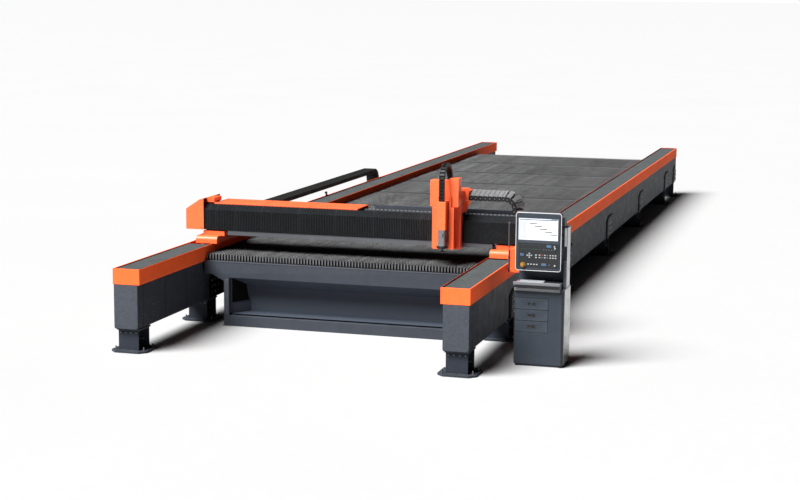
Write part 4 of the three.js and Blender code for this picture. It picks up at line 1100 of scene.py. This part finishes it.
def console():
    x0, x1, y0, y1, z0, z1 = span("console_cabinet")
    hx0, hx1, hy0, hy1, hz0, hz1 = span("console_head")
    dress("console_cabinet", console_slate, 0.004)
    dress("console_head", console_slate, 0.003)
    dress("keyboard_shelf", silver, 0.003)
    dress("control_panel", panel_ink, 0.0015)
    sx0, sx1, sy0, sy1, sz0, sz1 = span("console_screen")
    px0, px1, py0, py1, pz0, pz1 = span("control_panel")
    low, right = 1.1, px1 + 0.024
    face = Shape()

    def edge(inset):
        return rounded(hx0 + inset, right - inset, low + inset, hz1 - inset, 0.032 - inset)

    ring(face, edge(-0.0015), edge(0.006), hy0 - 0.003, hy0 + 0.03, 1)
    ring(face, edge(0.006), edge(0.015), hy0 - 0.001, hy0 + 0.01, 2)
    opening = []
    for x, z in edge(0.015):
        opening.append((min(max(x, sx0 - 0.001), px1 + 0.001), min(max(z, pz0 - 0.001), sz1 + 0.001)))
    ring(face, edge(0.015), opening, hy0 - 0.007, hy0 + 0.002, 0)
    face.box(sx0 - 0.001, px1 + 0.001, hy0 - 0.0065, hy0 + 0.002, pz1 + 0.001, sz0 - 0.001)
    face.box(sx1 + 0.001, px1 + 0.001, hy0 - 0.0065, hy0 + 0.002, sz0 - 0.001, sz1 + 0.001)
    face.make("console_bezel", [console_slate, rim_silver, black], "base", 0.001)
    screen = Shape()
    front = sy0 + 0.001
    screen.box(sx0 + 0.001, sx1 - 0.001, front, sy1, sz0 + 0.001, sz1 - 0.001, 0)
    screen.box(sx0 + 0.006, sx0 + 0.085, front - 0.0006, front + 0.001, sz0 + 0.01, sz1 - 0.03, 3)
    screen.box(sx0 + 0.008, sx1 - 0.008, front - 0.0007, front + 0.001, sz1 - 0.02, sz1 - 0.011, 2)
    screen.box(sx1 - 0.08, sx1 - 0.004, front - 0.0009, front + 0.001, sz1 - 0.008, sz1 - 0.003, 4)
    for i in range(5):
        x, z = sx0 + 0.13 + i * 0.058, sz1 - 0.055 - i * 0.03
        screen.box(x, x + 0.08, front - 0.0008, front + 0.001, z - 0.008, z, 4)
        screen.box(x - 0.035, x - 0.008, front - 0.0008, front + 0.001, z - 0.004, z - 0.001, 3)
    for i in range(7):
        z = sz0 + 0.02 + i * 0.025
        screen.box(sx0 + 0.012, sx0 + 0.05 + 0.008 * (i % 3), front - 0.0009, front + 0.001, z, z + 0.004, 0)
    mats = [glass, ink, blue_key, pale_ink, black]
    screen.make("console_display", mats, "base", 0.0004, ["console_screen"])
    keys(px0, py0, pz0, pz1)
    keyboard()
    drawers()
    drawer_gaps()
    trims(x0, x1, y0, y1, z1, right, hx1, hy0, hz1)


def round_key(shape, x, z, face, radius, height, part):
    profile = [(radius, 0.001), (radius, -height * 0.7), (radius * 0.8, -height)]
    shape.turned((x, face, z), "y", profile, 20, part)


def keys(x0, face, z0, z1):
    shape = Shape()

    def key(x, z, wide=0.018, tall=0.012, part=0):
        shape.box(x, x + wide, face - 0.003, face + 0.001, z - tall, z, part)

    key(x0 + 0.325, z1 - 0.018, 0.055, 0.028, 1)
    round_key(shape, x0 + 0.417, z1 - 0.032, face, 0.009, 0.005, 0)
    for i in range(5):
        key(x0 + 0.288 + i * 0.03, z1 - 0.068, 0.012, 0.009, 4)
    for i in range(12):
        key(x0 + 0.03 + i * 0.02, z1 - 0.022, 0.011, 0.003, 3)
        key(x0 + 0.03 + i * 0.02, z1 - 0.07, 0.011, 0.003, 3)
    key(x0 + 0.024, z1 - 0.124, 0.042, 0.026, 1)
    cx, cz = x0 + 0.13, z1 - 0.142
    for dx, dz in ((0, 0), (1, 0), (-1, 0), (0, 1), (0, -1)):
        key(cx + dx * 0.024 - 0.0085, cz + dz * 0.022 + 0.007, 0.017, 0.014)
    for j in range(2):
        key(x0 + 0.196, z1 - 0.128 - j * 0.028, 0.02, 0.014)
    for i, part in enumerate((0, 2, 0, 4)):
        key(x0 + 0.238 + i * 0.03, z1 - 0.128, 0.018, 0.013, part)
        key(x0 + 0.238 + i * 0.03, z1 - 0.156, 0.018, 0.013, 4 if part else 0)
    for i in range(3):
        for j in range(2):
            key(x0 + 0.362 + i * 0.03, z1 - 0.128 - j * 0.028, 0.018, 0.013)
    for i in range(4):
        key(x0 + 0.108 + i * 0.033, z0 + 0.044, 0.02, 0.013)
    key(x0 + 0.27, z0 + 0.052, 0.055, 0.028, 1)
    round_key(shape, x0 + 0.36, z0 + 0.036, face, 0.007, 0.004, 4)
    mats = [white_key, blue_key, red_key, green_mark, grey_key]
    shape.make("panel_keys", mats, "base", 0.0008)
    buttons = (
        ("estop_button", "estop", amber, "yellow_plastic", 1.42),
        ("start_button", "start", white_key, "white_plastic", 1.2),
        ("stop_button", "stop", white_key, "red_plastic", 1.2),
    )
    for node, body, cap, slot, collar in buttons:
        a0, a1, b0, b1, c0, c1 = span(node)
        r = (a1 - a0) / 2
        deep = b1 - b0
        head = Shape()
        spot = ((a0 + a1) / 2, 0, (c0 + c1) / 2)
        profile = [(r * 0.6, b1), (r * 0.6, b0 + deep * 0.55), (r * 0.97, b0 + deep * 0.5)]
        profile += [(r, b0 + deep * 0.3), (r * 0.88, b0 + deep * 0.08), (r * 0.4, b0)]
        head.turned(spot, "y", profile, 32)
        if node == "estop_button":
            for k in range(3):
                angle = 2 * math.pi * k / 3
                x, z = spot[0] + r * 0.55 * math.cos(angle), spot[2] + r * 0.55 * math.sin(angle)
                head.turned((x, b0 + 0.002, z), "y", [(0.004, 0.003), (0.004, -0.0015)], 3, 1)
        head.make(f"{node}_cap", [cap, black], body, 0, [node])
        rim = Shape()
        loops = []
        for size in (r * collar, r * 1.08):
            loops.append(rounded(spot[0] - size, spot[0] + size, spot[2] - size, spot[2] + size, size, 8))
        ring(rim, *loops, face - 0.004, face + 0.001)
        rim.make(f"{node}_collar", amber if collar > 1.2 else black, "base")


def keyboard():
    x0, x1, y0, y1, z0, z1 = span("keyboard")
    tray = Shape()
    outline = [(y0, z0), (y1, z0), (y1, z1 - 0.002), (y0, z0 + 0.009)]
    tray.prism("x", outline, x0, x1, 0)
    cols, rows = 14, 5
    pitch_x, pitch_y = (x1 - x0 - 0.016) / cols, (y1 - y0 - 0.02) / rows
    for r in range(rows):
        y = y0 + 0.01 + r * pitch_y
        low = z0 + 0.008 + (z1 - z0 - 0.012) * (r + 0.5) / rows
        c = 0
        while c < cols:
            wide = 5 if (r == 0 and c == 4) else 1
            a = x0 + 0.008 + c * pitch_x
            b = a + wide * pitch_x
            tray.box(a + 0.001, b - 0.001, y + 0.001, y + pitch_y - 0.001, low, low + 0.006, 1)
            c += wide
    tray.make("keyboard_body", [silver, white_key], "base", 0.0008, ["keyboard"])


DRAWERS = {"lower_drawer": "drawer_low", "middle_drawer": "drawer_mid", "upper_drawer": "drawer_top"}


def drawers():
    for node, body in DRAWERS.items():
        x0, y0, z0 = span(node)[::2]
        dress(node, console_slate, 0.0015)
        pull = Shape()
        a, b, low, high = x0 + 0.146, x0 + 0.232, z0 + 0.046, z0 + 0.08
        rim = 0.006
        pull.box(a, b, y0 - 0.002, y0 + 0.001, high - rim, high)
        pull.box(a, b, y0 - 0.002, y0 + 0.001, low, low + rim)
        pull.box(a, a + rim, y0 - 0.002, y0 + 0.001, low, high)
        pull.box(b - rim, b, y0 - 0.002, y0 + 0.001, low, high)
        pull.box(a + rim, b - rim, y0 + 0.0025, y0 + 0.004, low + rim, high - rim)
        pull.make(f"{node}_handle", black, body, 0.001)


def drawer_gaps():
    """Thin dark shadow lines round the three drawer fronts."""
    shape = Shape()
    for node in DRAWERS:
        x0, x1, y0, y1, z0, z1 = span(node)
        edge = 0.005
        left, right, low, high = x0 - edge, x1 + edge, z0 - edge, z1 + edge
        lines = (
            (left, x0 - 0.001, z0, z1),
            (x1 + 0.001, right, low, high),
            (left, right, z1 + 0.001, high),
            (left, right, low, z0 - 0.001),
        )
        for a, b, c, d in lines:
            shape.box(a, b, y0 - 0.0008, y0 + 0.004, c, d)
    shape.make("drawer_gaps", black, "base")


def trims(x0, x1, y0, y1, z1, head_right, hx1, hy0, hz1):
    side = Shape()
    side.box(x1 - 0.002, x1 + 0.0025, y0 + 0.03, y1 - 0.004, 0.03, z1 - 0.004)
    side.box(hx1 - 0.002, hx1 + 0.0025, hy0 + 0.11, hy0 + 0.29, z1 + 0.004, 1.59)
    side.box(hx1 - 0.022, hx1 + 0.0025, hy0 + 0.062, hy0 + 0.075, 1.385, 1.59)
    side.box(head_right - 0.001, head_right + 0.004, hy0 + 0.002, hy0 + 0.06, 1.19, 1.6)
    side.box(x0 - 0.003, x0 + 0.003, hy0 - 0.002, hy0 + 0.05, 1.19, 1.6)
    side.make("console_side_panels", chrome, "base", 0.0015)
    strip = Shape()
    strip.box(x1 - 0.026, x1 - 0.001, y0 - 0.004, y0 + 0.002, 0.03, z1 - 0.02)
    strip.box(head_right - 0.001, head_right + 0.003, hy0 + 0.002, hy0 + 0.07, 1.602, hz1 - 0.036)
    strip.box(head_right - 0.001, head_right + 0.003, hy0 + 0.002, hy0 + 0.07, 1.13, 1.188)
    strip.box(hx1 - 0.024, hx1 + 0.0015, hy0 + 0.1, hy0 + 0.108, 1.23, 1.376)
    strip.make("console_black_strips", black, "base", 0.001)
    lips = Shape()
    kx0, kx1, ky0, ky1, kz0, kz1 = span("keyboard_shelf")
    section = [(y0 - 0.028, 0.871), (y0 - 0.02, 0.871), (y0 + 0.004, 0.885)]
    section += [(y0 + 0.004, 0.905), (y0 - 0.028, 0.9)]
    lips.prism("x", section, kx0 + 0.004, kx1 - 0.002)
    # Black strips round the keyboard shelf: painted shade in the gaps.
    gap = Shape()
    gap.box(kx0 + 0.002, kx1 - 0.002, ky0 - 0.0018, ky0 + 0.001, 0.912, 0.936)
    gap.box(x0 + 0.006, x1 - 0.03, y0 - 0.0012, y0 + 0.002, 0.862, 0.87)
    gap.make("console_shelf_gap_shade", black, "base")
    lips.make("console_shelf_lip", silver, "base", 0.002)
    mat = Shape()
    mat.box(kx0 + 0.36, kx1 - 0.02, ky0 + 0.02, ky0 + 0.15, kz1 - 0.019, kz1 - 0.016)
    mat.make("pointer_mat", rubber, "base", 0.001)
    feet = Shape()
    for x in (x0 + 0.05, x1 - 0.03):
        for y in (y0 + 0.03, y1 - 0.05):
            feet.turned((x, y, 0), "z", [(0.03, 0.0), (0.032, 0.008), (0.012, 0.014), (0.012, 0.026)], 20)
    feet.make("console_feet", rubber, "base")


console()

# ---- floor, light and camera ----
floor_mesh = bpy.data.meshes.new("floor")
FLOOR_HALF = 4000
FLOOR_CORNERS = [(FLOOR_HALF * x, FLOOR_HALF * y, 0) for x, y in ((-1, -1), (1, -1), (1, 1), (-1, 1))]
floor_mesh.from_pydata(FLOOR_CORNERS, [], [(0, 1, 2, 3)])
floor = bpy.data.objects.new("floor", floor_mesh)
bpy.context.collection.objects.link(floor)
floor_paint = Finish("studio_floor", (0.385, 0.385, 0.385), 0.9).mottle(0.2, 0.01)
floor_mesh.materials.append(floor_paint.done(0, 0.001))

world = bpy.data.worlds.new("studio")
bpy.context.scene.world = world
world.use_nodes = True
# The room is bright at the left and dim at the right.
studio = world.node_tree
toward = studio.nodes.new("ShaderNodeSeparateXYZ")
studio.links.new(studio.nodes.new("ShaderNodeTexCoord").outputs["Generated"], toward.inputs[0])
falloff = studio.nodes.new("ShaderNodeMapRange")
studio.links.new(toward.outputs[0], falloff.inputs["Value"])
falloff.inputs["From Min"].default_value = -0.6
falloff.inputs["From Max"].default_value = 0.9
falloff.inputs["To Min"].default_value = 0.62
falloff.inputs["To Max"].default_value = 0.2
# A thin white band hides the line where the floor ends.
band = studio.nodes.new("ShaderNodeMath")
band.operation = "COMPARE"
studio.links.new(toward.outputs[2], band.inputs[0])
band.inputs[1].default_value = 0.0
HORIZON_BAND = 0.006
band.inputs[2].default_value = HORIZON_BAND
white = studio.nodes.new("ShaderNodeMath")
white.operation = "MULTIPLY"
studio.links.new(band.outputs[0], white.inputs[0])
HORIZON_GLOW = 20.0
white.inputs[1].default_value = HORIZON_GLOW
glow = studio.nodes.new("ShaderNodeMath")
glow.operation = "MAXIMUM"
studio.links.new(white.outputs[0], glow.inputs[0])
studio.links.new(falloff.outputs[0], glow.inputs[1])
studio.links.new(glow.outputs[0], studio.nodes["Background"].inputs["Strength"])


def sun(name, direction, strength, angle):
    light = bpy.data.lights.new(name, "SUN")
    light.energy = strength
    light.angle = math.radians(angle)
    obj = bpy.data.objects.new(name, light)
    obj.rotation_euler = Vector(direction).to_track_quat("-Z", "Y").to_euler()
    bpy.context.collection.objects.link(obj)


KEY_STRENGTH = 10.1
KEY_SIZE = 34  # degrees
sun("key", (0.38, 0.52, -0.83), KEY_STRENGTH, KEY_SIZE)

camera_data = bpy.data.cameras.new("camera")
camera = bpy.data.objects.new("camera", camera_data)
bpy.context.collection.objects.link(camera)
bpy.context.scene.camera = camera
camera_data.sensor_fit = "HORIZONTAL"
camera_data.sensor_width = 36
camera_data.lens = 74.25
camera_data.clip_end = 6000
CAMERA_PLACE = Vector((6.0888, -26.3912, 4.1315))
yaw, pitch, roll = -0.2848, 0.1514, 0.0078
ahead = Vector((math.sin(yaw) * math.cos(pitch), math.cos(yaw) * math.cos(pitch), -math.sin(pitch)))
level = Vector((math.cos(yaw), -math.sin(yaw), 0))
above = level.cross(ahead)
right = level * math.cos(roll) + above * math.sin(roll)
up = above * math.cos(roll) - level * math.sin(roll)
pose = Matrix((right, up, -ahead)).transposed().to_4x4()
pose.translation = CAMERA_PLACE
camera.matrix_world = pose

bpy.context.scene.view_settings.view_transform = "Standard"
